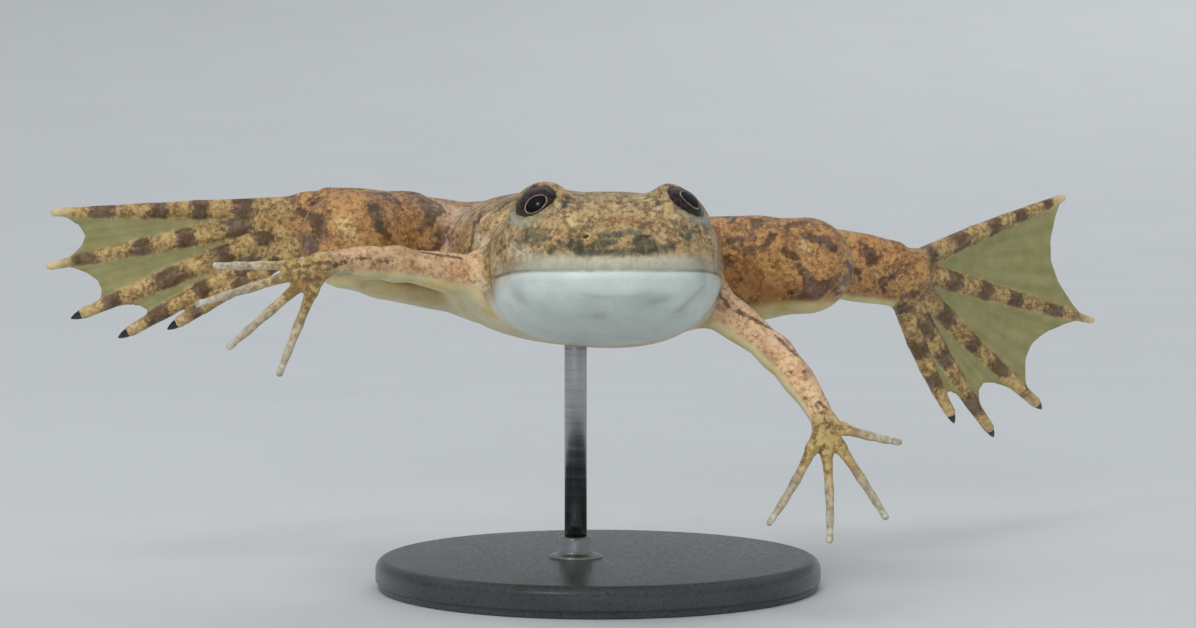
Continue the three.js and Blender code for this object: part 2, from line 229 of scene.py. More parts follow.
def station_curves(at):
    """Half width, height and depth at each distance, from a smooth curve through the stations."""
    x, rows = STATIONS[:, 0], STATIONS[:, 1:]
    slopes = np.empty_like(rows)
    slopes[1:-1] = (rows[2:] - rows[:-2]) / (x[2:] - x[:-2])[:, None]
    slopes[0] = (rows[1] - rows[0]) / (x[1] - x[0])
    slopes[-1] = (rows[-1] - rows[-2]) / (x[-1] - x[-2])
    i = np.clip(np.searchsorted(x, at) - 1, 0, len(x) - 2)
    span = (x[i + 1] - x[i])[:, None]
    t = (at[:, None] - x[i][:, None]) / span
    t2, t3 = t * t, t * t * t
    curve = (
        rows[i] * (2 * t3 - 3 * t2 + 1)
        + slopes[i] * span * (t3 - 2 * t2 + t)
        + rows[i + 1] * (3 * t2 - 2 * t3)
        + slopes[i + 1] * span * (t3 - t2)
    )
    return curve.T


def rounded(distance, reach, power=2.2):
    left = np.clip(1 - distance / reach, 0, 1)
    return np.sqrt(np.clip(1 - left**power, 0, 1))


END_STEPS = np.geomspace(0.004, 1.0, 60)
TABLE_AT = np.concatenate(
    [END_STEPS[:-1], np.linspace(1.0, SNOUT_TO_VENT - 1.0, 600), SNOUT_TO_VENT - END_STEPS[::-1][1:]]
)


def size_tables():
    half, above, below = station_curves(TABLE_AT)
    rump = rounded(SNOUT_TO_VENT - TABLE_AT, RUMP_PLAN)
    lips = rounded(TABLE_AT, LIP_PROFILE)
    return half * rounded(TABLE_AT, SNOUT_PLAN) * rump, above * lips * rump, below * lips * rump


SIZES = size_tables()
SIZE_RATES = [np.gradient(np.log(table), TABLE_AT) for table in SIZES]


def spine(at):
    at = np.asarray(at, float)
    x = SNOUT[0] - SLOPE * at - BEND * at * at
    y = SNOUT[1] + SPINE_STEP * at
    z = SNOUT[2] - math.tan(DROOP) * at + TRUNK_RISE * smoothstep(at, *TURNING)
    return np.stack([x, y, z], -1)


def spine_frame(at):
    """Back along the spine, to the frog's left, and up, at each station."""
    at = np.asarray(at, float)
    back = unit(spine(at + 0.5) - spine(at - 0.5))
    level = unit(np.cross(back, vec(0, 0, 1)))
    bank = (ROLL * smoothstep(at, *TURNING))[..., None]
    left = level * np.cos(bank) + np.cross(back, level) * np.sin(bank)
    return back, left, unit(np.cross(left, back))


def on_body(at, left, up):
    _, aside, upwards = spine_frame(at)
    return spine(at) + aside * left + upwards * up


def pair_place(spot, sign):
    """The place of one of a pair of features, on the side of this sign."""
    return on_body(spot["at"], sign * spot["aside"], spot["above"])


def body_coords(p):
    """Station, distance to the left and height above the spine line of each point."""
    at = (p[:, 1] - SNOUT[1]) / SPINE_STEP
    for _ in range(3):
        back = unit(spine(at + 0.5) - spine(at - 0.5))
        at = at + dot(p - spine(at), back)
    back, left, up = spine_frame(at)
    off = p - spine(at)
    return at, dot(off, left), dot(off, up)


def section_field(at, left, up):
    """Distance to the plain head and trunk."""
    inside = np.clip(at, TABLE_AT[0], TABLE_AT[-1])
    half, above, below = (np.interp(inside, TABLE_AT, table) for table in SIZES)
    half_rate, above_rate, below_rate = (np.interp(inside, TABLE_AT, rate) for rate in SIZE_RATES)
    tall = np.where(up > 0, above, below)
    tall_rate = np.where(up > 0, above_rate, below_rate)
    n = SQUARENESS
    wide, high = np.abs(left / half), np.abs(up / tall)
    value = (wide**n + high**n + 1e-9) ** (1 / n)
    scale = value ** (1 - n)
    across2 = (scale * wide ** (n - 1) / half) ** 2
    upright2 = (scale * high ** (n - 1) / tall) ** 2
    along2 = (scale * (wide**n * half_rate + high**n * tall_rate)) ** 2
    slope = np.sqrt(across2 + upright2 + along2 + 1e-9)
    plain = (value - 1) / slope
    blunt = (value**3 - value) / (2 * slope)
    distance = mix(plain, blunt, along2 / slope**2)
    beyond = np.maximum(TABLE_AT[0] - at, at - TABLE_AT[-1])
    return np.where(beyond > 0, np.hypot(np.maximum(distance, 0), np.maximum(beyond, 0)), distance)


# Limbs, toes and webs


class Limb:
    """A spindle along a slightly bowed line; radii are [share of the length, radius]."""

    def __init__(self, start, end, radii, bow=(0, 0, 0), wide=1.0, thick=1.0, across=(0, 0, 1)):
        self.start, self.run, self.bow = start, end - start, np.array(bow, float)
        self.radii = np.array(radii, float)
        self.wide, self.thick = wide, thick
        self.along = unit(self.run)
        self.side = unit(np.array(across, float) - self.along * (np.array(across, float) @ self.along))
        self.normal = np.cross(self.along, self.side)
        points = np.array([start, (start + end) / 2 + self.bow, end])
        widest = self.radii[:, 1].max() * max(wide, thick, 1.0)
        self.low, self.high = points.min(0) - widest, points.max(0) + widest

    def radius(self, t):
        shares, sizes = self.radii[:, 0], self.radii[:, 1]
        i = np.clip(np.searchsorted(shares, t) - 1, 0, len(shares) - 2)
        return mix(sizes[i], sizes[i + 1], smoothstep(t, shares[i], shares[i + 1]))

    def point(self, t):
        t = np.asarray(t, float)[..., None]
        return self.start + t * self.run + 4 * t * (1 - t) * self.bow

    def nearest(self, p):
        """Nearest point of the middle line, and its share of the length."""
        t = np.clip((p - self.start) @ self.run / (self.run @ self.run), 0, 1)
        if self.bow.any():
            for _ in range(2):
                slope = self.run + 4 * (1 - 2 * t)[:, None] * self.bow
                t = np.clip(t + dot(p - self.point(t), slope) / dot(slope, slope), 0, 1)
        return self.point(t), t

    def field(self, p):
        """Distance to the limb, and the share of its length that each point is beside."""
        where, share = self.nearest(p)
        off = p - where
        if self.wide != self.thick:
            scaled = [off @ self.along, off @ self.side / self.wide, off @ self.normal / self.thick]
            distance = np.linalg.norm(scaled, axis=0) - self.radius(share)
            return distance * min(self.wide, self.thick), share
        return np.linalg.norm(off, axis=1) - self.radius(share), share


PLEATS = 5
PLEAT_HEIGHT = 0.035
WEB_THICK, WEB_THIN = 0.3, 0.2  # half the web's thickness at a toe and between toes


class Web:
    """A thin sheet between two toes, its free edge hanging back in an arc between the tips."""

    def __init__(self, a, b, reach_a, reach_b, dip):
        self.a, self.b = a, b
        self.reach_a, self.reach_b, self.dip = reach_a, reach_b, dip
        self.low, self.high = np.minimum(a.low, b.low), np.maximum(a.high, b.high)

    def reach(self, s):
        return mix(self.reach_a, self.reach_b, s) - self.dip * 4 * s * (1 - s)

    def nearest(self, p):
        """Share of the way from one toe to the other, share of the length, and distance to the sheet."""
        a, b = self.a, self.b
        s = np.full(len(p), 0.5)
        t = np.full(len(p), 0.5)
        for _ in range(5):
            across = b.point(t) - a.point(t)
            off = p - a.point(t) - s[:, None] * across
            along = mix(a.run, b.run, s[:, None]) + 4 * (1 - 2 * t)[:, None] * a.bow
            ss, tt, st = dot(across, across), dot(along, along), dot(across, along)
            gs, gt = dot(off, across), dot(off, along)
            det = np.maximum(ss * tt - st * st, 1e-6)
            s = np.clip(s + (gs * tt - gt * st) / det, 0, 1)
            t = np.clip(t + (gt * ss - gs * st) / det, 0.04, 1.1)
        held = np.minimum(t, self.reach(s))
        sheet = mix(a.point(held), b.point(held), s[:, None])
        return s, held, np.linalg.norm(p - sheet, axis=1)

    def field(self, p):
        """Distance to the web, and the share of the toes' length that each point is beside."""
        s, t, gap = self.nearest(p)
        thin = 4 * s * (1 - s) * smoothstep(t, 0.1, 0.5)
        pleat = PLEAT_HEIGHT * np.cos(TURN * PLEATS * s) * thin
        return gap - mix(WEB_THICK, WEB_THIN, thin) - pleat, t


def ball_field(p, centre, radius):
    return np.linalg.norm(p - centre, axis=1) - radius


def toe_radii(base, tip):
    """A toe swells a little at each of its joints."""
    shares = np.linspace(0, 1, 25)
    plain = np.interp(shares, [0, 0.5, 1], [base, mix(base, tip, 0.4), tip])
    swell = sum(hump(shares, joint, 0.035) for joint in TOE_JOINTS)
    return np.stack([shares, plain * (1 + TOE_SWELL * swell)], -1)


# Limbs: the radii of each length as [share of its length, radius]

RADII = {
    "thigh": [[0, 4.8], [0.35, 5.6], [0.75, 5.3], [1, 4.5]],
    "quad": [[0, 2.9], [0.4, 3.9], [0.8, 3.5], [1, 3.2]],
    "ham": [[0, 3.6], [0.4, 4.2], [0.75, 3.2], [1, 2.6]],
    "shank": [[0, 4.3], [0.3, 4.2], [0.75, 3.5], [1, 3.2]],
    "calf": [[0, 2.8], [0.28, 4.1], [0.62, 3.2], [0.85, 2.2], [1, 1.8]],
    "shin": [[0, 3.1], [0.25, 3.2], [0.7, 2.2], [1, 1.8]],
    "tarsus": [[0, 3.3], [0.5, 3.4], [0.85, 3.2], [1, 2.7]],
    "upper_arm": [[0, 2.5], [0.4, 1.9], [1, 1.4]],
    "forearm": [[0, 1.38], [0.35, 1.52], [0.75, 1.2], [1, 1.0]],
    "palm": [[0, 0.93], [1, 0.57]],
    "finger": [
        [0, 0.53], [0.3, 0.4], [0.42, 0.44], [0.6, 0.35],
        [0.72, 0.38], [0.9, 0.29], [0.97, 0.32], [1, 0.31],
    ],
}

TOE_FILLET, WEB_FILLET, FOOT_FILLET = 0.5, 0.35, 0.9
PALM_FILLET, FINGER_FILLET, HAND_FILLET = 0.5, 0.35, 0.5
EYE_FILLET = 1.5

# How wide the fillet is at the near end of each length and further along it, and between which shares
FILLETS = {
    "thigh": (3.2, 0.9, 0.1, 0.45),
    "quad": (2.6, 0.8, 0.1, 0.4),
    "ham": (2.6, 0.8, 0.1, 0.4),
    "shank": (1.5, 0.6, 0.05, 0.3),
    "calf": (0.9, 0.6, 0.05, 0.4),
    "shin": (1.2, 0.7, 0.05, 0.4),
    "tarsus": (1.8, 0.6, 0.1, 0.6),
    "upper_arm": (2.2, 0.6, 0.3, 0.8),
    "forearm": (1.2, 0.5, 0.1, 0.5),
}

# Bones and muscles of the leg: first and last joint, and how far the start, the end and the middle lie from
# the line between them, into the bend of the knee
LEG = {
    "thigh": ("hip", "knee", 0, 0, 0),
    "quad": ("hip", "knee", -0.4, -0.7, -1.3),
    "ham": ("hip", "knee", 1.0, 1.2, 0.8),
    "shank": ("knee", "ankle", 0, 0, 0),
    "calf": ("knee", "ankle", 1.0, 0, 0.9),
    "shin": ("knee", "ankle", -0.8, 0, -0.9),
}
TARSUS_WIDE, TARSUS_THICK = 1.1, 0.85
TOE_ROOT = 1.15


def make_arm(made, places):
    sign, elbow, wrist, tips = (places[name] for name in ("sign", "elbow", "wrist", "fingers"))
    shoulder = pair_place(SHOULDER, sign)
    point = unit(elbow - (shoulder + wrist) / 2) * ELBOW_BOW
    made["upper_arm"] = Limb(shoulder, elbow - point, RADII["upper_arm"], bow=point)
    made["forearm"] = Limb(elbow - point, wrist, RADII["forearm"], bow=point)
    knuckles = [mix(wrist, tip, KNUCKLE_SHARE) for tip in tips]
    palm_up = unit(np.cross(tips[3] - wrist, tips[0] - wrist)) * sign * FINGER_BOW
    made["palm"] = [Limb(wrist, k, RADII["palm"]) for k in knuckles]
    made["fingers"] = [Limb(k, tip, RADII["finger"], bow=palm_up) for k, tip in zip(knuckles, tips)]


def make_leg(made, places):
    sign, root, tips = places["sign"], places["toe_root"], places["toes"]
    joints = {"hip": pair_place(HIP, sign), "knee": places["knee"], "ankle": places["ankle"]}
    bend = unit(unit(joints["hip"] - joints["knee"]) + unit(joints["ankle"] - joints["knee"]))
    for name, (first, last, start, end, middle) in LEG.items():
        ends = joints[first] + bend * start, joints[last] + bend * end
        made[name] = Limb(*ends, RADII[name], bow=bend * middle)
    made["tarsus"] = Limb(joints["ankle"], root, RADII["tarsus"], wide=TARSUS_WIDE, thick=TARSUS_THICK)
    width = unit(tips[4] - tips[0])
    foot_up = unit(np.cross(tips[4] - root, tips[0] - root)) * sign * TOE_BOW
    toes = made["toes"] = []
    for i, tip in enumerate(tips):
        radii = toe_radii(TOE_ROOT, TOE_TIP if i < CLAWED_TOES else BARE_TOE_TIP)
        toes.append(Limb(root + width * (i - 2) * TOE_SPREAD, tip, radii, bow=foot_up))
    made["webs"] = [
        Web(*toes[i : i + 2], *WEB_REACHES[i : i + 2], dip) for i, dip in enumerate(places["web_dips"])
    ]


def make_side(places):
    made = {}
    sign = places["sign"]
    make_arm(made, places)
    make_leg(made, places)
    made["lid"], made["gaze"] = unit(places["lid"]), unit(places["gaze"])
    made["eye"] = pair_place(EYE, sign)
    made["cornea"] = made["eye"] - made["lid"] * CORNEA_DEPTH
    made["nostril"] = pair_place(NOSTRIL, sign)
    made["nostril_axis"] = unit(vec(0.3 * sign, -0.6, 0.75))
    return made


BODY = {side: make_side(places) for side, places in SIDES.items()}


def near(things, p, margin=4.0):
    """Those of the limbs and webs that come near the points."""
    low, high = p.min(0) - margin, p.max(0) + margin
    return [thing for thing in things if np.all(thing.low < high) and np.all(thing.high > low)]


# Small shapes of the skin. Each gives a height to add, in body coordinates, or carves the field itself.


def mouth_level(at, up):
    """Height above the line of the mouth, which drops towards its corners."""
    return up + 0.6 * smoothstep(at, 4, 14)


def mouth_fade(at):
    return 1 - smoothstep(at, MOUTH_ENDS_AT - 4, MOUTH_ENDS_AT)


def mouth_relief(at, up):
    level = mouth_level(at, up)
    upper_lip = 0.16 * hump(level, 0.75, 0.5)
    slit = 0.27 * hump(level, 0, 0.11)
    lower_lip = 0.08 * hump(level, -0.6, 0.35)
    return (upper_lip + lower_lip - slit) * mouth_fade(at)


def neck_fold_at(up):
    """Station of the crease behind the head, which leans back as it rises and runs back under the throat."""
    return 20.6 + 0.22 * np.maximum(up, 0) + 0.5 * np.maximum(-up - 2.5, 0)


def neck_relief(at, left, up):
    beside = smoothstep(np.abs(left), 6.0, 9.0) * window(up, -5, -3, 4.5, 6.8)
    crease = 0.5 * hump(at, neck_fold_at(up), 0.45)
    second = 0.22 * hump(at, neck_fold_at(up) - 2.6, 0.35)
    roll = 0.3 * hump(at, neck_fold_at(up) - 1.2, 0.8)
    shoulder = 0.85 * hump(at, neck_fold_at(up) + 3.2, 2.4)
    return (roll + shoulder - crease - second) * beside


def back_relief(at, left, up):
    """Shoulder blades, hip bones, the furrow between them and the hump over the hips."""
    top = smoothstep(up, 1.0, 4.0)
    aside = np.abs(left)
    blades = 0.45 * hump(at, 25.5, 3.2) * hump(aside, 5.2, 2.2)
    furrow = 0.3 * hump(aside, 0, 1.0) * window(at, 18, 24, 36, 42)
    ilium = 0.4 * hump(aside, 3.6 - 0.04 * (at - 46), 0.9) * window(at, 38, 43, 53, 57)
    sacrum = 0.5 * hump(at, 41.5, 3.0) * hump(aside, 0, 4.5)
    tail_bone = 0.3 * hump(aside, 0, 0.8) * window(at, 44, 48, 55, 58)
    return (blades - furrow + ilium + sacrum + tail_bone) * top


# rows of lateral line stitches: first and last station, spacing, and the height that the row runs at
STITCH_ROWS = [(19.0, 54.0, 2.1, 4.6), (20.0, 50.0, 2.5, -0.6), (25.0, 47.0, 2.8, -4.4)]
STITCH_LENGTH = 0.62
EYE_STITCHES = 14
EYE_STITCH_RING = 3.6

# three small flaps round the vent: root, tip and size, the first two as station, left and up
VENT_FLAPS = [
    ((57.6, 0, 1.6), (61.3, 0, 0.3), 0.9),
    ((57.6, 1.2, -0.9), (60.9, 0.9, -1.5), 0.8),
    ((57.6, -1.2, -0.9), (60.9, -0.9, -1.5), 0.8),
]
HEAD_LENGTH = 20.0
RUMP_STARTS_AT = 18.0  # the vent lies well behind this y


def row_stitches(at, up):
    """Where the short raised dashes along the flanks are."""
    mark = np.zeros(len(at))
    for first, last, spacing, height in STITCH_ROWS:
        count = np.round((at - first) / spacing)
        shift = 0.3 * np.sin(7.3 * count + height)
        off_at = at - first - count * spacing - 0.25 * shift
        off_up = np.abs(up - height - shift)
        inside = (count >= 0) & (count * spacing <= last - first)
        mark += inside * hump(off_at, 0, 0.17) * (1 - smoothstep(off_up, STITCH_LENGTH, STITCH_LENGTH + 0.25))
    return mark


def eye_stitches(p, made):
    """A ring of dashes round the eye."""
    axis = made["lid"]
    first = unit(np.cross(axis, vec(0, 0, 1)))
    off, out, ring = around(p, made["eye"], axis)
    turn = np.arctan2(off @ np.cross(axis, first), off @ first) * EYE_STITCHES / TURN
    beside = (turn - np.round(turn)) * TURN / EYE_STITCHES * ring
    on_ring = 1 - smoothstep(np.abs(ring - EYE_STITCH_RING), 0.3, 0.5)
    return hump(beside, 0, 0.15) * on_ring * hump(out, -0.8, 1.6)


def stitches(p, at, up):
    mark = row_stitches(at, up)
    for made in BODY.values():
        mark = np.maximum(mark, eye_stitches(p, made))
    return mark


def eye_shape(p, d, made):
    """The mound the eye sits on, its lids, the fold below them and the socket."""
    eye, axis = made["eye"], made["lid"]
    off, out, ring = around(p, eye, axis)
    mound = soft_max(ball_field(p, eye - axis * MOUND_DEPTH, MOUND), out - 0.05, 0.35)
    d = soft_min(d, mound, EYE_FILLET)
    lid = np.hypot(ring - EYE_RIM - 0.08, out - 0.02) - LID_THICK
    d = soft_min(d, lid, 0.2)
    down = unit(vec(0, -0.35, -1) - axis * (vec(0, -0.35, -1) @ axis))
    lower = off @ down / np.maximum(ring, 0.1)
    d = d + 0.1 * hump(ring, EYE_RIM + 0.75, 0.16) * smoothstep(lower, -0.3, 0.6) * hump(out, -0.3, 1.0)
    d = d - 0.07 * hump(ring, EYE_RIM + 1.1, 0.3) * smoothstep(lower, -0.1, 0.7) * hump(out, -0.6, 1.2)
    socket = np.maximum(ball_field(p, made["cornea"], CORNEA - 0.04), -out - 0.5)
    return soft_max(d, -socket, 0.05)


def nostril_shape(p, d, made):
    """A low round rim with a pit in it."""
    place, axis = made["nostril"], made["nostril_axis"]
    _, out, ring = around(p, place, axis)
    d = soft_min(d, ball_field(p, place - axis * 0.35, 0.78), 0.8)
    d = soft_min(d, np.hypot(ring - NOSTRIL_RIM, out - 0.36) - 0.13, 0.25)
    pit = np.maximum(ring - NOSTRIL_PIT, -out - 0.3)
    return soft_max(d, -pit, 0.1)


def whisker_shape(p, d, sign):
    """The very short tentacle below the eye."""
    root = pair_place(WHISKER, sign)
    tip = root + vec(0.55 * sign, -0.75, 0.1)
    return soft_min(d, Limb(root, tip, [[0, 0.34], [1, 0.14]]).field(p)[0], 0.3)


def vent_shape(p, d):
    for root, tip, size in VENT_FLAPS:
        flap = Limb(on_body(*root), on_body(*tip), [[0, size], [1, size * 0.7]]).field(p)[0]
        d = soft_min(d, flap, 0.35)
    return d


def body_field(p):
    at, left, up = body_coords(p)
    d = section_field(at, left, up)
    d = d - back_relief(at, left, up) - neck_relief(at, left, up) - 0.06 * row_stitches(at, up)
    if p[:, 1].min() < SNOUT[1] + HEAD_LENGTH:
        d = d - mouth_relief(at, up)
        for side, made in BODY.items():
            d = d - 0.05 * eye_stitches(p, made)
            d = whisker_shape(p, d, SIDES[side]["sign"])
            d = eye_shape(p, d, made)
            d = nostril_shape(p, d, made)
    if p[:, 1].max() > RUMP_STARTS_AT:
        d = vent_shape(p, d)
    return d


def join(d, things, p, reach):
    """The field d with fillets of this reach between it and the limbs or webs."""
    for thing in near(things, p):
        d = soft_min(d, thing.field(p)[0], reach)
    return d


def skin_field(p):
    """Distance to the skin, negative inside, for points that lie close together."""
    d = body_field(p)
    nothing = np.full(len(p), FAR)
    for made in BODY.values():
        for name, (wide, narrow, start, end) in FILLETS.items():
            for limb in near([made[name]], p):
                distance, share = limb.field(p)
                d = soft_min(d, distance, mix(wide, narrow, smoothstep(share, start, end)))
        foot = join(join(nothing, made["toes"], p, TOE_FILLET), made["webs"], p, WEB_FILLET)
        hand = join(join(nothing, made["palm"], p, PALM_FILLET), made["fingers"], p, FINGER_FILLET)
        d = soft_min(soft_min(d, foot, FOOT_FILLET), hand, HAND_FILLET)
    return d


# The skin's mesh: faces from a grid of the field, drawn onto the exact surface and split where it is fine

CELL = 0.3
BLOCK = 16
GRID_MARGIN = 3
LOWEST_SKIN = 5.0  # no part of the frog hangs below this height
SLOPE_STEP = 0.02
STEEPNESS = 0.2  # the least square of a slope that a point is moved by
LONGEST_MOVE = 0.25
CORNER_AT = 0.87  # from the middle of a block to its corners, in lengths of its side
SLACK = 0.8  # how far the field may be from the true distance
KEYS = 1000  # more blocks than there are along any axis


def by_blocks(p, size=4.0):
    """Groups of points that lie close together."""
    keys = np.floor(p / size).astype(np.int64) + KEYS // 2
    code = (keys[:, 0] * KEYS + keys[:, 1]) * KEYS + keys[:, 2]
    order = np.argsort(code, kind="stable")
    cuts = np.flatnonzero(np.diff(code[order])) + 1
    return np.split(order, cuts)


def make_surface():
    low = np.array(CAD_BOX[0]) / MM - GRID_MARGIN
    high = np.array(CAD_BOX[1]) / MM + GRID_MARGIN
    low[2] = LOWEST_SKIN
    side = CELL * BLOCK
    blocks = np.ceil((high - low) / side).astype(int)
    grid = np.full(blocks * BLOCK, 1.0, np.float32)
    steps = np.arange(BLOCK) * CELL
    corner = np.stack(np.meshgrid(steps, steps, steps, indexing="ij"), -1).reshape(-1, 3)
    cells = np.stack(np.meshgrid(*[np.arange(n) for n in blocks], indexing="ij"), -1).reshape(-1, 3)
    origins = low + cells * side
    middles = np.empty(len(cells))
    for group in by_blocks(origins, 12.0):
        middles[group] = skin_field(origins[group] + side / 2)
    reach = side * CORNER_AT + SLACK
    for cell, origin, middle in zip(cells, origins, middles):
        x, y, z = cell * BLOCK
        part = grid[x : x + BLOCK, y : y + BLOCK, z : z + BLOCK]
        if abs(middle) > reach:
            part[...] = np.sign(middle)
        else:
            part[...] = np.clip(skin_field(origin + corner), -1, 1).reshape(BLOCK, BLOCK, BLOCK)
    volume = openvdb.FloatGrid(1.0)
    volume.copyFromArray(grid)
    points, quads = volume.convertToQuads(0.0)
    return points.astype(float) * CELL + low, quads.astype(np.int64)


def draw_on(p, rounds=2):
    """Moves points along the field's slope onto the surface."""
    p = p.copy()
    e = SLOPE_STEP
    for group in by_blocks(p):
        q = p[group]
        for _ in range(rounds):
            n = len(q)
            f = skin_field(np.concatenate([q, q + [e, 0, 0], q + [0, e, 0], q + [0, 0, e]]))
            slope = (np.stack([f[n : 2 * n], f[2 * n : 3 * n], f[3 * n :]], -1) - f[:n, None]) / e
            move = f[:n, None] * slope / np.maximum((slope**2).sum(1, keepdims=True), STEEPNESS)
            q = q - np.clip(move, -LONGEST_MOVE, LONGEST_MOVE)
        p[group] = q
    return p


def split_quads(points, quads, others, chosen):
    """Splits the chosen quads in four. Their neighbours take up the new points on the shared edges."""
    edges = np.sort(np.stack([quads, np.roll(quads, -1, 1)], -1), -1)
    code = edges[..., 0] * (len(points) + 1) + edges[..., 1]
    split = np.unique(code[chosen])
    first = len(points)
    ends = np.stack([split // (len(points) + 1), split % (len(points) + 1)], -1)
    middles = first + np.arange(len(split))
    centres = first + len(split) + np.arange(chosen.sum())
    new = np.concatenate([points[ends].mean(1), points[quads[chosen]].mean(1)])
    spot = np.minimum(np.searchsorted(split, code), len(split) - 1)
    halved = split[spot] == code
    a, m = quads[chosen], middles[spot[chosen]]
    smaller = np.stack([a, m, np.repeat(centres[:, None], 4, 1), np.roll(m, 1, 1)], -1).reshape(-1, 4)
    touched = ~chosen & halved.any(1)
    others = list(others)
    for corners, cut, where in zip(quads[touched], halved[touched], middles[spot[touched]]):
        others.append([v for k in range(4) for v in ([corners[k], where[k]] if cut[k] else [corners[k]])])
    return np.concatenate([points, new]), np.concatenate([quads[~chosen & ~touched], smaller]), others


def fine_parts(p):
    """Where the small shapes of the head and the thin fingers need small faces."""
    at, left, up = body_coords(p)
    fine = (at < 17) & (np.abs(left) < 11.5) & (up > -4)
    for made in BODY.values():
        for finger in made["fingers"]:
            fine |= finger.field(p)[0] < 0.2
        for web in made["webs"]:
            s, t, gap = web.nearest(p)
            fine |= (t > web.reach(s) - 0.03) & (gap < 0.5)
    return fine


def finest_face(p):
    at, left, up = body_coords(p)
    mouth = (np.abs(mouth_level(at, up) + 0.05) < 0.45) & (at < MOUTH_ENDS_AT) & (np.abs(left) < 11)
    rims = np.zeros(len(p), bool)
    for made in BODY.values():
        rims |= np.abs(np.linalg.norm(p - made["eye"], axis=1) - EYE_RIM) < 0.55
        rims |= np.linalg.norm(p - made["nostril"], axis=1) < 0.9
    return mouth | rims


points, quads = make_surface()
points = draw_on(points)
polygons = []
for choose in ((fine_parts, finest_face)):
    chosen = choose(points[quads].mean(1))
    old = len(points)
    points, quads, polygons = split_quads(points, quads, polygons, chosen)
    points[old:] = draw_on(points[old:])


def new_mesh(name, verts, faces, finish=None):
    mesh = bpy.data.meshes.new(name)
    mesh.from_pydata((np.asarray(verts) * MM).tolist(), [], faces)
    mesh.shade_smooth()
    if finish:
        mesh.materials.append(finish)
    return mesh


def add_object(name, data):
    thing = bpy.data.objects.new(name, data)
    bpy.context.scene.collection.objects.link(thing)
    return thing


def add_piece(name, mesh, slot, *nodes):
    """Puts a piece on the body in place of its solids."""
    piece = add_object(name, mesh)
    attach(piece, "root")
    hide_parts(*nodes)


def write_attribute(mesh, name, values):
    mesh.attributes.new(name, "FLOAT", "POINT").data.foreach_set("value", np.asarray(values, np.float32))


FLESH = [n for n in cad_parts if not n.startswith(("eye_", "claw_", "stand_"))]
skin_mesh = new_mesh("skin", points, quads.tolist() + polygons)
add_piece("skin", skin_mesh, "skin", *FLESH)

# The camera stands where the photographer's did

PHOTO_WIDTH = 1196
PHOTO_CENTRE = (598, 314)
FOCAL_PIXELS = 2697
SENSOR_WIDTH = 36
CAMERA_AT = vec(0, -266, 38.3)
CAMERA_DIP = math.radians(2.44)

camera_data = bpy.data.cameras.new("camera")
camera = add_object("camera", camera_data)
camera.location = CAMERA_AT * MM
camera.rotation_euler = (math.radians(90) - CAMERA_DIP, 0, 0)
camera_data.sensor_width = SENSOR_WIDTH
camera_data.lens = SENSOR_WIDTH * FOCAL_PIXELS / PHOTO_WIDTH
camera_data.clip_start = 0.01
bpy.context.scene.camera = camera


def sight_line(x, y):
    """Direction from the camera through a pixel of the photo."""
    right = (x - PHOTO_CENTRE[0]) / FOCAL_PIXELS
    down = (y - PHOTO_CENTRE[1]) / FOCAL_PIXELS
    forward = vec(0, math.cos(CAMERA_DIP), -math.sin(CAMERA_DIP))
    upward = vec(0, math.sin(CAMERA_DIP), math.cos(CAMERA_DIP))
    return unit(forward + vec(1, 0, 0) * right - upward * down)


# Marks on the skin, by kind and place, left and right being the frog's own. Each is a radius in pixels of the
# photo and one or more pixels that it runs through. They are looked up on the skin, so a mark stays on what
# carries it.

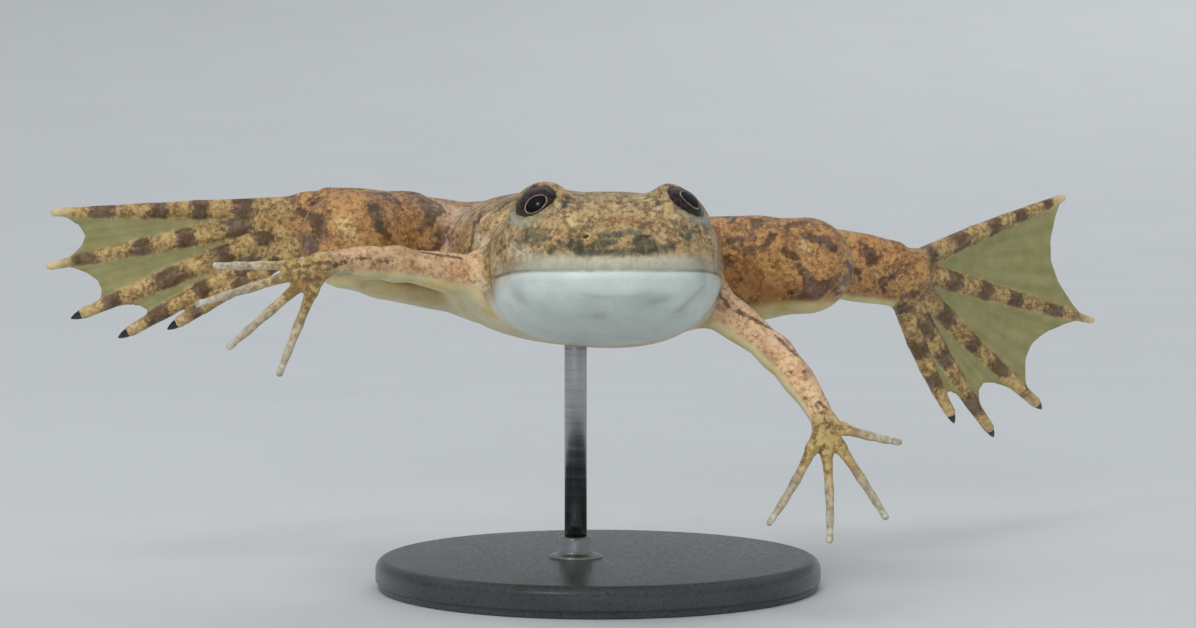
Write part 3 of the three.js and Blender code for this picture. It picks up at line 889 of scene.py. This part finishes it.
MARKS = {
    "dark": {
        "brow": [[5, (580, 189), (594, 190)], [5, (626, 189), (640, 188)]],
        "right_lid": [[5, (516, 197), (498, 210)], [5, (482, 208), (478, 222)]],
        "snout": [[6, (572, 243)], [5, (583, 249)], [6, (638, 235), (639, 247)], [5, (655, 244)]],
        "left_nostril": [[3, (632, 211)], [3, (665, 247)]],
        "right_cheek": [[4, (505, 247), (497, 254)]],
        "right_neck": [[4, (436, 208), (432, 226)], [4, (471, 203), (474, 226), (471, 248)]],
        "right_arm": [
            [3, (325, 270), (334, 266), (345, 262)],
            [2.5, (300, 268), (318, 263), (345, 260), (366, 259), (392, 261)],
            [3, (421, 252), (440, 255), (460, 258)],
        ],
        "right_hand": [[3.5, (300, 277), (308, 282), (318, 278)]],
        "right_leg": [[7, (377, 226), (388, 236)], [8, (303, 214), (322, 219)], [5, (318, 228), (326, 234)]],
        "left_arm": [
            [4, (710, 283), (719, 293), (728, 306)],
            [4, (737, 311), (752, 318), (768, 327)],
            [3, (775, 335), (788, 348), (797, 356)],
            [2.5, (800, 352), (810, 366)],
            [2.5, (790, 372)],
            [2.5, (818, 380), (829, 394)],
        ],
        "left_hand": [
            [3, (819, 402), (826, 408)],
            [2, (806, 398), (815, 405), (823, 415), (829, 426), (832, 436)],
            [2.5, (838, 398), (850, 412)],
            [2.5, (824, 445), (819, 455)],
        ],
        "left_thigh": [
            [8, (763, 247), (772, 237)],
            [7, (786, 226), (802, 222)],
            [7, (806, 236), (818, 240)],
            [8, (826, 240), (834, 248)],
            [6, (784, 252), (796, 257)],
            [6, (731, 240), (740, 239)],
        ],
        "left_shank": [[10, (867, 252), (873, 260)], [6, (857, 272)], [6, (893, 275)]],
        "left_ankle": [[6, (903, 297), (917, 293)], [6, (918, 324), (932, 336)], [4, (930, 315)]],
    },
    "grey": {
        "snout": [
            [8, (574, 245), (586, 251)],
            [7, (598, 243), (612, 242)],
            [8, (637, 240), (655, 247)],
            [6, (560, 244)],
            [6, (580, 252), (620, 253), (650, 251), (672, 247)],
            [7, (600, 236), (640, 232)],
        ],
        "cheeks": [[8, (529, 233), (542, 239)], [7, (552, 250)], [7, (686, 238), (692, 231)]],
        "brow": [[5, (569, 197), (565, 206)], [5, (659, 203)]],
        "right_lid": [[5, (478, 190), (489, 187)]],
        "right_thigh": [[9, (375, 208), (380, 222)]],
    },
    "light": {
        "brow": [[5, (552, 196), (558, 204)], [5, (640, 198), (645, 203)], [5, (613, 206)]],
        "bridge": [[5, (625, 211)], [5, (597, 214)], [4, (650, 213)], [6, (566, 212), (573, 225)]],
        "cheeks": [[8, (497, 221), (506, 233)], [5, (672, 226)]],
        # the first mark of the legs, on the right knee, is a painted highlight
        "legs": [[9, (344, 224), (352, 232)], [5, (803, 245), (808, 250)], [4, (878, 273)], [4, (923, 337)]],
        "left_neck": [[3, (703, 229), (714, 243), (717, 258), (711, 272)]],
    },
    "rust": {
        "brow": [[6, (614, 219), (634, 221)], [5, (600, 188), (616, 188)]],
        "right_neck": [[6, (487, 206), (479, 214)]],
        "right_leg": [[8, (409, 222), (413, 232)], [7, (285, 222), (262, 220)]],
        "right_hand": [[5, (298, 284), (310, 280), (322, 273)]],
        "left_leg": [[14, (742, 278), (765, 292), (795, 298), (824, 290)], [6, (872, 236), (850, 228)]],
    },
    "rosy": {
        "right_shoulder": [[18, (444, 214), (456, 210), (460, 226), (450, 246)], [6, (437, 268), (443, 272)]],
        "left_shoulder": [[7, (690, 300), (700, 308)]],
        "left_arm": [[5, (750, 330)], [6, (770, 337), (776, 344)]],
        "left_wrist": [[5, (810, 375), (815, 384)], [4, (819, 400)]],
    },
    "chalky": {
        "right_cheek": [[10, (492, 256), (499, 268)], [8, (511, 248), (530, 256)]],
        "right_neck": [[6, (476, 236), (486, 246)], [7, (478, 280), (488, 289)]],
    },
    "shade": {
        "left_neck": [[6, (703, 288), (690, 300), (679, 311)], [8, (700, 262), (704, 275)]],
        "throat": [[12, (520, 297)], [12, (598, 316)], [9, (655, 301), (664, 299)]],
    },
}
MARK_STEP = 3.0  # pixels between the places of one long mark


def mark_places(line):
    """Pixels at even steps along a mark."""
    stops = [np.array(line[0], float)]
    for end in line[1:]:
        start = stops[-1]
        steps = max(1, round(float(np.linalg.norm(end - start)) / MARK_STEP))
        stops.extend(mix(start, np.array(end, float), (k + 1) / steps) for k in range(steps))
    return stops


def marked(kind, p, tree):
    """How strongly each point of the skin carries this kind of mark."""
    strength = np.zeros(len(p))
    for size, *line in sum(MARKS[kind].values(), []):
        for x, y in mark_places(line):
            place, _, _, distance = tree.ray_cast(Vector(CAMERA_AT), Vector(sight_line(x, y)))
            if place is not None:
                reach = size * distance / FOCAL_PIXELS
                strength = np.maximum(strength, np.exp(-((p - np.array(place)) ** 2).sum(1) / reach**2))
    return strength


# Regions of the skin

# how far below or above the spine line the pale underside ends, by station, and how gradually it does
PALE_BELOW = [(0, 2, 4, 5, 6.5, 9, 14, 20, 60), (1.3, 1.25, 1.0, 0.6, 0.1, -0.7, -2.2, -3.2, -2.8)]
PALE_FADE = [(0, 3, 6, 9, 16), (0.7, 1.2, 2.8, 3.0, 1.8)]
REGIONS = ("ventral", "belly", "warm", "blotch", "rose", "hand", "bone", "tip", "band", "toes", "toe_tip")


def nearness(distance):
    return 1 / (0.25 + np.maximum(distance, 0)) ** 3


def find_regions(p, normal):
    """How much each point belongs to each region of the skin, from 0 to 1."""
    sums = dict.fromkeys(("weight", *REGIONS), 0.0)

    def give(weight, **shares):
        """Counts a part of the body by its nearness, with how much of each region it has."""
        for name, share in ({"weight": 1} | shares).items():
            sums[name] = sums[name] + weight * share

    at, left, up = body_coords(p)
    trunk = nearness(section_field(at, left, up))
    jaw = smoothstep(mouth_level(at, up), -0.2, 0.3)
    give(
        trunk,
        ventral=smoothstep((np.interp(at, *PALE_BELOW) - up) / np.interp(at, *PALE_FADE), -1, 1),
        belly=np.maximum(smoothstep(at, 15.5, 19.5), 0.55 * jaw),
        warm=0.7 * smoothstep(at, 18, 34),
        blotch=0.1 + 0.6 * smoothstep(at, 14, 30),
    )
    web, pleat = np.zeros(len(p)), np.zeros(len(p))
    for side, places in SIDES.items():
        made = BODY[side]
        below = normal @ unit(places["arm_underside"])
        for limb in near([made["upper_arm"], made["forearm"]], p):
            under, over = smoothstep(below, 0.45, 0.92), smoothstep(-below, -0.1, 0.6)
            give(nearness(limb.field(p)[0]), rose=1, ventral=under, belly=0.85, blotch=0.75 * over)
        back_of_hand = normal @ -unit(made["fingers"][0].bow)
        on_hand = {"hand": 1, "belly": 0.5, "bone": smoothstep(back_of_hand, 0.3, 0.95)}
        on_hand["ventral"] = 0.6 * smoothstep(-back_of_hand, 0.1, 0.8)
        for bone in near(made["palm"], p):
            distance, share = bone.field(p)
            give(nearness(distance), rose=0.6 * (1 - share), **on_hand)
        for finger in near(made["fingers"], p):
            distance, share = finger.field(p)
            clear = 0.6 * smoothstep(share, 0.05, 0.7) + 0.4 * smoothstep(share, 0.84, 0.95)
            give(nearness(distance), tip=clear, **on_hand)
        for limb in near([made[name] for name in (*LEG, "tarsus")], p):
            under = smoothstep(-normal[:, 2], 0.55, 0.95)
            give(nearness(limb.field(p)[0]), warm=1, blotch=1, ventral=under, belly=1)
        nearest_toe = np.full(len(p), FAR)
        sole = smoothstep(normal @ unit(made["toes"][0].bow), 0.2, 0.8)
        for i, (bands, shift) in enumerate(places["toe_bands"]):
            for toe in near([made["toes"][i]], p):
                distance, share = toe.field(p)
                wobble = 0.12 * np.sin(9.0 * share + 5.0 * shift)
                wave = 0.5 - 0.5 * np.cos(TURN * (bands * share + shift + wobble))
                under = sole * smoothstep(share, 0.02, 0.3)
                give(
                    nearness(distance),
                    warm=0.35,
                    toes=1,
                    ventral=0.7 * under,
                    belly=1,
                    band=wave * (1 - smoothstep(share, 0.9, 0.96)) * (1 - 0.7 * under),
                    toe_tip=smoothstep(share, 0.9, 1.0) * (0.35 if i < CLAWED_TOES else 1.0),
                )
                nearest_toe = np.minimum(nearest_toe, distance)
        for sheet in near(made["webs"], p):
            s, t, gap = sheet.nearest(p)
            between = smoothstep(nearest_toe, 0.0, 0.45) * (gap < 0.6) * (t > 0.05)
            web = np.maximum(web, between)
            rays = 0.5 + 0.5 * np.cos(TURN * PLEATS * s)
            pleat = np.maximum(pleat, between * rays * smoothstep(t, 0.25, 0.6))
    weight = sums.pop("weight")
    found = {name: total / weight for name, total in sums.items()}
    found["band"] = found["band"] * (1 - web)
    return found | {"web": web, "pleat": pleat, "stitch": stitches(p, at, up) * trunk / weight}


def find_details(p):
    """Painted shade in the crease of the mouth, the nostril pits, the neck folds and round the eyes, and the
    fold below each eye.
    """
    at, left, up = body_coords(p)
    # crease is painted shade: a darkening along the mouth line and the neck fold, in the nostril pits and
    # round the lids' inner edge
    mouth = 0.4 * hump(mouth_level(at, up), -0.03, 0.12) * mouth_fade(at)
    neck = hump(at, neck_fold_at(up), 0.5) * smoothstep(np.abs(left), 6, 9) * (1 - smoothstep(up, 4.5, 6.8))
    crease = np.maximum(mouth, 0.7 * neck) * (at < 24)
    lip = smoothstep(mouth_level(at, up), -0.1, 0.25) * (at < 10)
    lid = np.zeros(len(p))
    for made in BODY.values():
        pit = np.linalg.norm(p - made["nostril"] - made["nostril_axis"] * 0.1, axis=1)
        crease = np.maximum(crease, 1 - smoothstep(pit, 0.25, 0.42))
        off, out, ring = around(p, made["eye"], made["lid"])
        crease = np.maximum(crease, 0.9 * hump(ring, EYE_RIM - 0.12, 0.3) * hump(out, 0, 0.5))
        lower = smoothstep(-off[:, 2] / np.maximum(np.linalg.norm(off, axis=1), 0.1), -0.1, 0.6)
        lid = np.maximum(lid, hump(ring, EYE_RIM + 0.3, 0.45) * hump(out, -0.1, 1.0) * lower)
    return {"crease": crease, "lid": lid, "lip": lip}


def colour_skin():
    normals = np.empty(len(points) * 3, np.float32)
    skin_mesh.vertex_normals.foreach_get("vector", normals)
    normals = normals.reshape(-1, 3)
    found = {}
    for group in by_blocks(points, 5.0):
        regions = find_regions(points[group], normals[group]) | find_details(points[group])
        for name, values in regions.items():
            found.setdefault(name, np.zeros(len(points)))[group] = values
    tree = BVHTree.FromPolygons(points.tolist(), quads.tolist() + polygons)
    for kind in MARKS:
        found[kind] = marked(kind, points, tree)
    for name, values in found.items():
        write_attribute(skin_mesh, name, values)


colour_skin()


# Materials


def srgb(red, green, blue):
    """A colour as it looks on screen, from 0 to 255, in the shaders' own scale."""
    shares = [c / 255 for c in (red, green, blue)]
    return tuple(s / 12.92 if s <= 0.04045 else ((s + 0.055) / 1.055) ** 2.4 for s in shares) + (1.0,)


class Nodes:
    """Short calls for a material's nodes. Patterns are sized in millimetres, colours go from 0 to 255."""

    def __init__(self, name):
        self.material = bpy.data.materials.new(name)
        self.material.use_nodes = True
        self.tree = self.material.node_tree
        self.shader = self.tree.nodes["Principled BSDF"]
        self.place = self.node("TexCoord", "Object")

    def put(self, socket, value):
        if isinstance(value, bpy.types.NodeSocket):
            self.tree.links.new(value, socket)
        else:
            socket.default_value = value

    def node(self, kind, output, inputs=(), **settings):
        """The output of a new node, its inputs given by name or number."""
        node = self.tree.nodes.new("ShaderNode" + kind)
        for name, value in settings.items():
            setattr(node, name, value)
        for name, value in dict(inputs).items():
            self.put(node.inputs[name], value)
        return node.outputs[output]

    def finish(self, **values):
        for name, value in values.items():
            self.put(self.shader.inputs[name.replace("_", " ")], value)
        return self.material

    def read(self, name):
        return self.node("Attribute", "Fac", attribute_name=name)

    def number(self, operation, *values):
        return self.node("Math", 0, enumerate(values), operation=operation)

    def add(self, *values):
        return reduce(partial(self.number, "ADD"), values)

    def times(self, *values):
        return reduce(partial(self.number, "MULTIPLY"), values)

    def most(self, a, b):
        return self.number("MAXIMUM", a, b)

    def step(self, value, low, high, to_low=0.0, to_high=1.0):
        inputs = enumerate((value, low, high, to_low, to_high))
        return self.node("MapRange", 0, inputs, interpolation_type="SMOOTHSTEP")

    def noise(self, size, detail=3.0, roughness=0.55, distortion=0.0, place=None):
        inputs = {"Vector": place or self.place, "Scale": 1 / (size * MM), "Detail": detail}
        return self.node("TexNoise", "Fac", inputs | {"Roughness": roughness, "Distortion": distortion})

    def patches(self, size, detail, low, high, to_low=0.0, to_high=1.0):
        """Noise that rises from one value to another between two of its levels."""
        return self.step(self.noise(size, detail), low, high, to_low, to_high)

    def cells(self, size):
        return self.node("TexVoronoi", "Distance", {"Vector": self.place, "Scale": 1 / (size * MM)})

    def moved(self, operation, *by):
        """The place divided by three numbers, which draws a pattern out, or added to them, which moves it."""
        return self.node("VectorMath", 0, {0: self.place, 1: by}, operation=operation)

    def blend(self, share, under, over):
        under, over = (c if isinstance(c, bpy.types.NodeSocket) else srgb(*c) for c in (under, over))
        return self.node("Mix", 2, {"Factor": share, 6: under, 7: over}, data_type="RGBA")

    def over(self, share, colour):
        """Lays a colour over what the material has so far."""
        self.colour = self.blend(share, self.colour, colour)

    def bump(self, height, depth, strength=1.0, under=None):
        inputs = {"Height": height, "Distance": depth * MM, "Strength": strength}
        return self.node("Bump", 0, inputs if under is None else inputs | {"Normal": under})


PATTERN_LENGTH = 2.1  # the pattern of the skin is drawn out along the body

# light and dark colour of the mottling, by region of the skin
MOTTLED = {
    "body": [(188, 158, 110), (104, 82, 52)],
    "warm": [(190, 144, 90), (126, 88, 54)],
    "rose": [(220, 184, 142), (180, 140, 102)],
    "hand": [(192, 168, 110), (146, 118, 70)],
    "toes": [(204, 178, 116), (138, 112, 66)],
    "lip": [(178, 178, 162), (160, 158, 138)],
    "grey": [(96, 92, 72), (58, 58, 46)],
}

# marks that fade into the mottling: greatest and least strength, and colour
FADING_MARKS = {
    "rust": (0.75, 0.35, (158, 104, 58)),
    "rosy": (0.85, 0.5, (206, 176, 150)),
    "chalky": (0.75, 0.4, (204, 194, 168)),
}


def skin_colour(n):
    """The young frog's colours: tan, orange-brown legs, pale throat and belly, clear fingers. The shade marks
    are painted shade, and one light mark is a painted highlight on the right knee.
    """
    fine = n.noise(0.45, 6, 0.68)
    mottle = n.step(n.add(n.times(n.noise(1.7, 3), 0.4), n.times(fine, 0.6)), 0.4, 0.6)
    mottled = {name: n.blend(mottle, *colours) for name, colours in MOTTLED.items()}
    ragged = n.times(n.add(fine, -0.5), 1.2)
    ventral = n.step(n.add(n.read("ventral"), n.times(ragged, 0.55)), 0.1, 0.85)
    dorsal = n.number("SUBTRACT", 1.0, ventral)
    n.colour = mottled["body"]
    spots = n.step(n.noise(1.0, 4, 0.6, place=n.moved("ADD", 7, 7, 7)), 0.52, 0.66)
    n.over(n.times(spots, 0.5), (98, 84, 60))
    for region in ("warm", "rose", "hand"):
        n.over(n.read(region), mottled[region])
    for kind, (most, least, tint) in FADING_MARKS.items():
        n.over(n.times(n.read(kind), n.step(fine, 0.4, 0.6, most, least)), tint)
    n.over(n.times(n.read("toes"), 0.5), mottled["toes"])
    bare = n.step(n.read("hand"), 0.0, 1.0, 1.0, 0.15)
    freckle = n.step(n.add(n.times(n.noise(0.16, 3, 0.6), 0.5), n.times(fine, 0.5)), 0.52, 0.6)
    n.over(n.times(freckle, 0.6, bare, dorsal), (104, 82, 54))
    fleck = n.times(n.step(n.noise(0.3, 4, 0.6), 0.58, 0.66), 0.45, bare, dorsal)
    # pale marks; the one on the right knee is a painted highlight
    light = n.times(n.read("light"), n.step(fine, 0.38, 0.6, 0.75, 0.1))
    n.over(n.most(fleck, light), (220, 196, 134))
    blotch = n.times(n.step(n.noise(3.6, 3, 0.5, 0.5), 0.48, 0.62), n.read("blotch"), 0.8, dorsal)
    dark = n.most(n.most(n.read("dark"), blotch), n.read("band"))
    dark = n.step(n.add(dark, n.times(ragged, 1.1)), 0.3, 0.85)
    n.over(n.times(dark, 0.82), n.blend(n.patches(1.2, 3, 0.46, 0.62), (70, 50, 34), (96, 78, 74)))
    n.over(n.times(n.step(n.add(n.read("bone"), n.times(ragged, 2.4)), 0.7, 1.2), 0.75), (104, 84, 50))
    throat = n.blend(n.patches(2.6, 4, 0.3, 0.74), (216, 227, 221), (200, 212, 208))
    cream = n.blend(n.patches(2.2, 3, 0.4, 0.7), (218, 202, 146), (208, 180, 106))
    pale = n.blend(n.times(n.read("lip"), 0.75), n.blend(n.read("belly"), throat, cream), mottled["lip"])
    n.over(n.times(ventral, 0.96), pale)
    grey = n.step(n.add(n.read("grey"), n.times(ragged, 0.9)), 0.05, 1.05)
    n.over(n.times(grey, 0.9), mottled["grey"])
    n.over(n.times(n.read("shade"), 0.35), (124, 122, 98))


def skin_material():
    n = Nodes("skin")
    n.place = n.moved("DIVIDE", 1, PATTERN_LENGTH, 1)
    skin_colour(n)
    web = n.read("web")
    membrane = n.blend(n.patches(1.6, 4, 0.3, 0.75), (184, 180, 130), (166, 164, 112))
    pleats = n.times(n.step(n.read("pleat"), 0.3, 1.0), 0.25)
    n.over(web, n.blend(pleats, membrane, (146, 138, 88)))
    clear = n.blend(n.patches(0.4, 4, 0.35, 0.65), (222, 222, 212), (170, 168, 150))
    for name, strength, colour in [
        ("tip", 0.8, clear),
        ("toe_tip", 0.75, (214, 200, 158)),
        ("lid", 0.7, (146, 164, 154)),
        ("stitch", 0.45, (222, 210, 184)),
        # crease: painted shade in the mouth line, the neck fold, the nostril pits and round the eyes
        ("crease", 0.6, (92, 82, 66)),
    ]:
        n.over(n.times(n.read(name), strength), colour)
    grain = n.bump(n.cells(0.2), 0.03, 0.5)
    thin = n.node("BsdfTranslucent", 0, {"Color": n.colour})
    share = n.most(n.times(web, 0.4), n.times(n.read("tip"), 0.2))
    both = n.node("MixShader", 0, {0: share, 1: n.shader.outputs[0], 2: thin})
    n.put(n.tree.nodes["Material Output"].inputs["Surface"], both)
    return n.finish(
        Base_Color=n.colour,
        Roughness=n.patches(0.8, 3, 0.3, 0.7, 0.34, 0.5),
        Normal=n.bump(n.noise(0.55, 4), 0.05, 0.6, grain),
        Specular_IOR_Level=0.35,
        Coat_Weight=0.12,
        Coat_Roughness=0.2,
        Subsurface_Weight=0.12,
        Subsurface_Scale=0.0012,
    )


skin_mesh.materials.append(skin_material())


# Turned shapes


def ringed(start, rings, end, first, second, sides):
    """A solid from a point over rings of (centre, radius) to a point. First and second span the rings."""
    turns = np.arange(sides) * TURN / sides
    verts = [start]
    for centre, radius in rings:
        verts.extend(centre + radius * (first * math.cos(a) + second * math.sin(a)) for a in turns)
    verts.append(end)
    faces = [(0, 1 + (k + 1) % sides, 1 + k) for k in range(sides)]
    for row in range(len(rings) - 1):
        a, b = 1 + row * sides, 1 + (row + 1) * sides
        faces += [(a + k, a + (k + 1) % sides, b + (k + 1) % sides, b + k) for k in range(sides)]
    last = 1 + (len(rings) - 1) * sides
    faces += [(len(verts) - 1, last + k, last + (k + 1) % sides) for k in range(sides)]
    return np.array(verts), faces


def turned(profile, axis, origin, sides):
    """A solid turned about an axis; the profile of (radius, distance along) starts and ends on the axis."""
    first = unit(np.cross(axis, vec(0.3, 1, 0.2)))
    (start, _), *rings, (end, _) = [(origin + axis * out, radius) for radius, out in profile]
    return ringed(start, rings, end, first, np.cross(axis, first), sides)


def corner(radius, height, round_, turns, steps=10):
    """Points of a rounded edge of a profile; turns are its first and last angle in degrees."""
    angles = np.radians(np.linspace(*turns, steps))
    return [(radius + round_ * math.cos(a), height + round_ * math.sin(a)) for a in angles]


# Eyes: a flat dome behind the lids, black pupil, thin pale ring, dark mottled iris

PUPIL = 0.98  # half the pupil's length; it lies across the head
PUPIL_SHAPE = 0.68  # its width as a share of its length
RING = 1.12
RING_WIDTH = 0.09
EYE_SIDES = 128


def eye_profile():
    half = math.asin(EYE_RIM / CORNEA) + 0.08
    cap = [(CORNEA * math.sin(a), CORNEA * math.cos(a)) for a in np.linspace(0, half, 48)]
    edge_r, edge_out = cap[-1]
    back = [(edge_r * math.cos(a), edge_out - 0.3 * math.sin(a)) for a in np.linspace(0.2, math.pi / 2, 10)]
    return cap + back


def eye_material():
    n = Nodes("eye")
    upper = n.read("upper")
    radius = n.add(n.read("off_pupil"), n.times(n.add(n.noise(0.5, 3), -0.5), 0.22))
    n.colour = n.blend(n.patches(0.3, 5, 0.4, 0.62), (18, 13, 14), (56, 42, 38))
    n.over(n.step(n.add(upper, n.noise(0.6, 3)), 0.1, -0.3), (44, 48, 26))
    # a painted reflection: lilac-grey over the upper part of the iris
    n.over(n.times(n.step(n.add(upper, n.noise(0.4, 4)), 0.8, 1.5), 0.7), (92, 72, 84))
    ring = n.step(n.number("ABSOLUTE", n.add(radius, -RING)), 0.0, RING_WIDTH, 1.0, 0.0)
    n.over(n.times(ring, n.patches(0.5, 3, 0.35, 0.65, 0.25, 0.85)), (186, 166, 150))
    n.over(n.step(radius, PUPIL, PUPIL + 0.08, 1.0, 0.0), (2, 2, 3))
    # painted shade: the eye darkens at its edge, against the lids
    n.over(n.step(n.read("off_axis"), EYE_RIM - 0.28, EYE_RIM - 0.02), (26, 22, 22))
    return n.finish(
        Base_Color=n.colour, Roughness=0.3, Specular_IOR_Level=0.1, Coat_Weight=0.4, Coat_Roughness=0.04
    )


def mark_eye(mesh, verts, made):
    """Writes how far each point is from the pupil's middle and the eye's axis, and how high it is."""
    lid, gaze = made["lid"], made["gaze"]
    off, _, off_axis = around(verts, made["cornea"], lid)
    aim = unit(off)
    length = unit(np.cross(lid, vec(0, 1, 0)))
    length = unit(length - gaze * (length @ gaze))
    across = aim @ np.cross(gaze, length) / PUPIL_SHAPE
    stretch = np.hypot(aim @ length, across) / np.maximum(np.linalg.norm(np.cross(aim, gaze), axis=1), 1e-6)
    write_attribute(mesh, "off_pupil", CORNEA * np.arccos(np.clip(aim @ gaze, -1, 1)) * stretch)
    write_attribute(mesh, "off_axis", off_axis)
    write_attribute(mesh, "upper", off @ unit(vec(0, 0, 1) - lid * lid[2]) / EYE_RIM)


eye_finish = eye_material()
for side, made in BODY.items():
    verts, faces = turned(eye_profile(), made["lid"], made["cornea"], EYE_SIDES)
    mesh = new_mesh(f"eyeball_{side}", verts, faces, eye_finish)
    mark_eye(mesh, verts, made)
    add_piece(f"eyeball_{side}", mesh, "eye", f"eye_{side}")


# Claws: curved black cones over the tips of the inner three toes

CLAW_BASE = 0.57
CLAW_TIP = 0.2
CLAW_HOOK = 0.3
CLAW_SUNK = 0.5
CLAW_BARE = 1.45  # how far the claw stands out of the toe
CLAW_SIDES = 20
CLAW_ROWS = 16


def claw_shape(toe, sole):
    along = unit(toe.run - 4 * toe.bow)
    tip = toe.point(1.0)
    rings = []
    for t in np.linspace(0, 1, CLAW_ROWS):
        centre = tip + along * mix(-CLAW_SUNK, CLAW_BARE, t) + sole * CLAW_HOOK * t * t
        rings.append((centre, mix(CLAW_BASE, CLAW_TIP, t**1.7) * math.sqrt(max(1 - t**8, 0.2))))
    end = tip + along * (CLAW_BARE + 0.06) + sole * CLAW_HOOK
    first = unit(np.cross(along, sole))
    return ringed(tip - along * CLAW_SUNK, rings, end, first, np.cross(along, first), CLAW_SIDES)


def claw_material():
    n = Nodes("claw")
    streak = n.noise(0.25, 3, place=n.moved("DIVIDE", 1, 1, 3))
    return n.finish(
        Base_Color=n.blend(n.step(streak, 0.35, 0.7), (18, 15, 13), (46, 38, 32)),
        Roughness=n.step(streak, 0.3, 0.7, 0.24, 0.4),
        Normal=n.bump(streak, 0.03, 0.5),
        Specular_IOR_Level=0.5,
        Coat_Weight=0.3,
        Coat_Roughness=0.15,
    )


claw_finish = claw_material()
for side, made in BODY.items():
    sole = unit(made["toes"][0].bow)
    for i in range(CLAWED_TOES):
        name = f"claw_tip_{side}_{i + 1}"
        mesh = new_mesh(name, *claw_shape(made["toes"][i], sole), claw_finish)
        add_piece(name, mesh, "claw", f"claw_{side}_{i + 1}")


# Stand: a turned base, a collar and a steel rod that ends in the belly

ROD_AT = vec(-2.2, -1, 0)
ROD_RADIUS = 1.1
ROD_SUNK = 0.9  # how far the rod goes into the belly
ROD_FOOT = 4.0  # height of the rod's lower end, inside the collar
BASE_RADIUS = 22.0
BASE_HEIGHT = 3.0
BASE_ROUND = 1.1
FOOT_ROUND = 0.25
UPRIGHT = vec(0, 0, 1)


def base_profile():
    foot = corner(BASE_RADIUS - 2 * FOOT_ROUND, FOOT_ROUND, FOOT_ROUND, (-90, 0), 6)
    body = corner(BASE_RADIUS - FOOT_ROUND, 0.95, FOOT_ROUND, (-90, 0), 6)
    top = corner(BASE_RADIUS - BASE_ROUND, BASE_HEIGHT - BASE_ROUND, BASE_ROUND, (0, 90), 16)
    return [(0, 0)] + foot + body + top + [(4.2, BASE_HEIGHT), (0, BASE_HEIGHT)]


def collar_profile():
    flange = corner(2.35, 3.05, 0.25, (-60, 90), 10)
    neck = [(1.95, 3.34), (1.74, 3.45), (1.66, 3.65)]
    top = corner(1.31, 4.75, 0.35, (0, 90), 10)
    return [(0, 2.9)] + flange + neck + top + [(1.12, 5.1), (1.12, 4.9), (0, 4.9)]


def rod_profile():
    heights = np.linspace(8, 34, 1040)
    depths = skin_field(ROD_AT + heights[:, None] * UPRIGHT)
    top = heights[np.argmax(depths < -ROD_SUNK)]
    edge = corner(ROD_RADIUS - 0.3, top - 0.3, 0.3, (0, 90), 6)
    return [(0, ROD_FOOT), (ROD_RADIUS, ROD_FOOT)] + edge + [(0, top)]


def stand_material(name, dark, light, grain_place, **constants):
    """Satin metal or lacquer with fine turning marks and faint cloudiness."""
    n = Nodes(name)
    fine = n.noise(0.35, 3, place=n.moved("DIVIDE", *grain_place))
    cloud = n.add(n.times(fine, 0.5), n.times(n.noise(9.0, 3), 0.5))
    return n.finish(
        Base_Color=n.blend(n.step(cloud, 0.35, 0.65), dark, light),
        Roughness=n.step(fine, 0.3, 0.7, 0.26, 0.4),
        Normal=n.bump(fine, 0.01, 0.35),
        **constants,
    )


def add_stand():
    steel = stand_material("stand_steel", (150, 152, 154), (184, 186, 188), (40, 40, 1), Metallic=1.0)
    coat = {"Specular_IOR_Level": 0.5, "Coat_Weight": 0.2, "Coat_Roughness": 0.25}
    lacquer = stand_material("stand_lacquer", (44, 46, 48), (62, 64, 66), (1, 1, 1), **coat)
    for name, profile, origin, sides, finish, slot in [
        ("base", base_profile(), vec(0, 0, 0), 160, lacquer, "stand_base"),
        ("collar", collar_profile(), ROD_AT, 64, steel, "stand_steel"),
        ("rod", rod_profile(), ROD_AT, 48, steel, "stand_steel"),
    ]:
        mesh = new_mesh(f"stand_{name}_turned", *turned(profile, UPRIGHT, origin, sides), finish)
        add_piece(f"stand_{name}_turned", mesh, slot, f"stand_{name}")


add_stand()

# Studio: a pale floor that rises all round in one slow curve, wide soft lights and a small one for a glint

FLOOR_FLAT = 300.0
FLOOR_RISE = 5200.0
FLOOR_SIDES = 128
LOOK_AT = Vector((0, 0, 0.03))

# place, size and power
LIGHTS = {
    "above": ((-0.3, -0.6, 1.86), 1.3, 11.5),
    "front": ((-0.35, -1.8, 0.3), 1.0, 24),
    "behind": ((0.6, 1.5, 1.2), 1.2, 8),
    "glint": ((-0.2, -0.36, 0.42), 0.09, 0.2),
}


def add_floor():
    middle = vec(0, 0, 0)
    bend = corner(FLOOR_FLAT, FLOOR_RISE, FLOOR_RISE, (-90, -25), 80)
    rings = [(UPRIGHT * height, radius) for radius, height in bend]
    verts, faces = ringed(middle, rings, middle, vec(1, 0, 0), vec(0, -1, 0), FLOOR_SIDES)
    n = Nodes("floor")
    finish = n.finish(
        Base_Color=n.blend(n.patches(60, 3, 0.3, 0.7), (206, 209, 211), (208, 211, 213)),
        Roughness=n.patches(8, 3, 0.3, 0.7, 0.6, 0.75),
        Specular_IOR_Level=0.2,
    )
    floor = add_object("floor", new_mesh("floor", verts[:-1], faces[:-FLOOR_SIDES], finish))


def light_studio():
    world = bpy.data.worlds.new("studio")
    bpy.context.scene.world = world
    world.use_nodes = True
    background = world.node_tree.nodes["Background"].inputs
    background["Color"].default_value = (0.86, 0.9, 0.94, 1)
    background["Strength"].default_value = 0.5
    for name, (place, size, power) in LIGHTS.items():
        lamp = bpy.data.lights.new(name, "AREA")
        lamp.shape = "DISK"
        lamp.size = size
        lamp.energy = power
        thing = add_object(name, lamp)
        thing.location = place
        thing.rotation_euler = (LOOK_AT - Vector(place)).to_track_quat("-Z", "Y").to_euler()
        thing.visible_glossy = name == "glint"
    bpy.context.scene.view_settings.view_transform = "Standard"


add_floor()
light_studio()
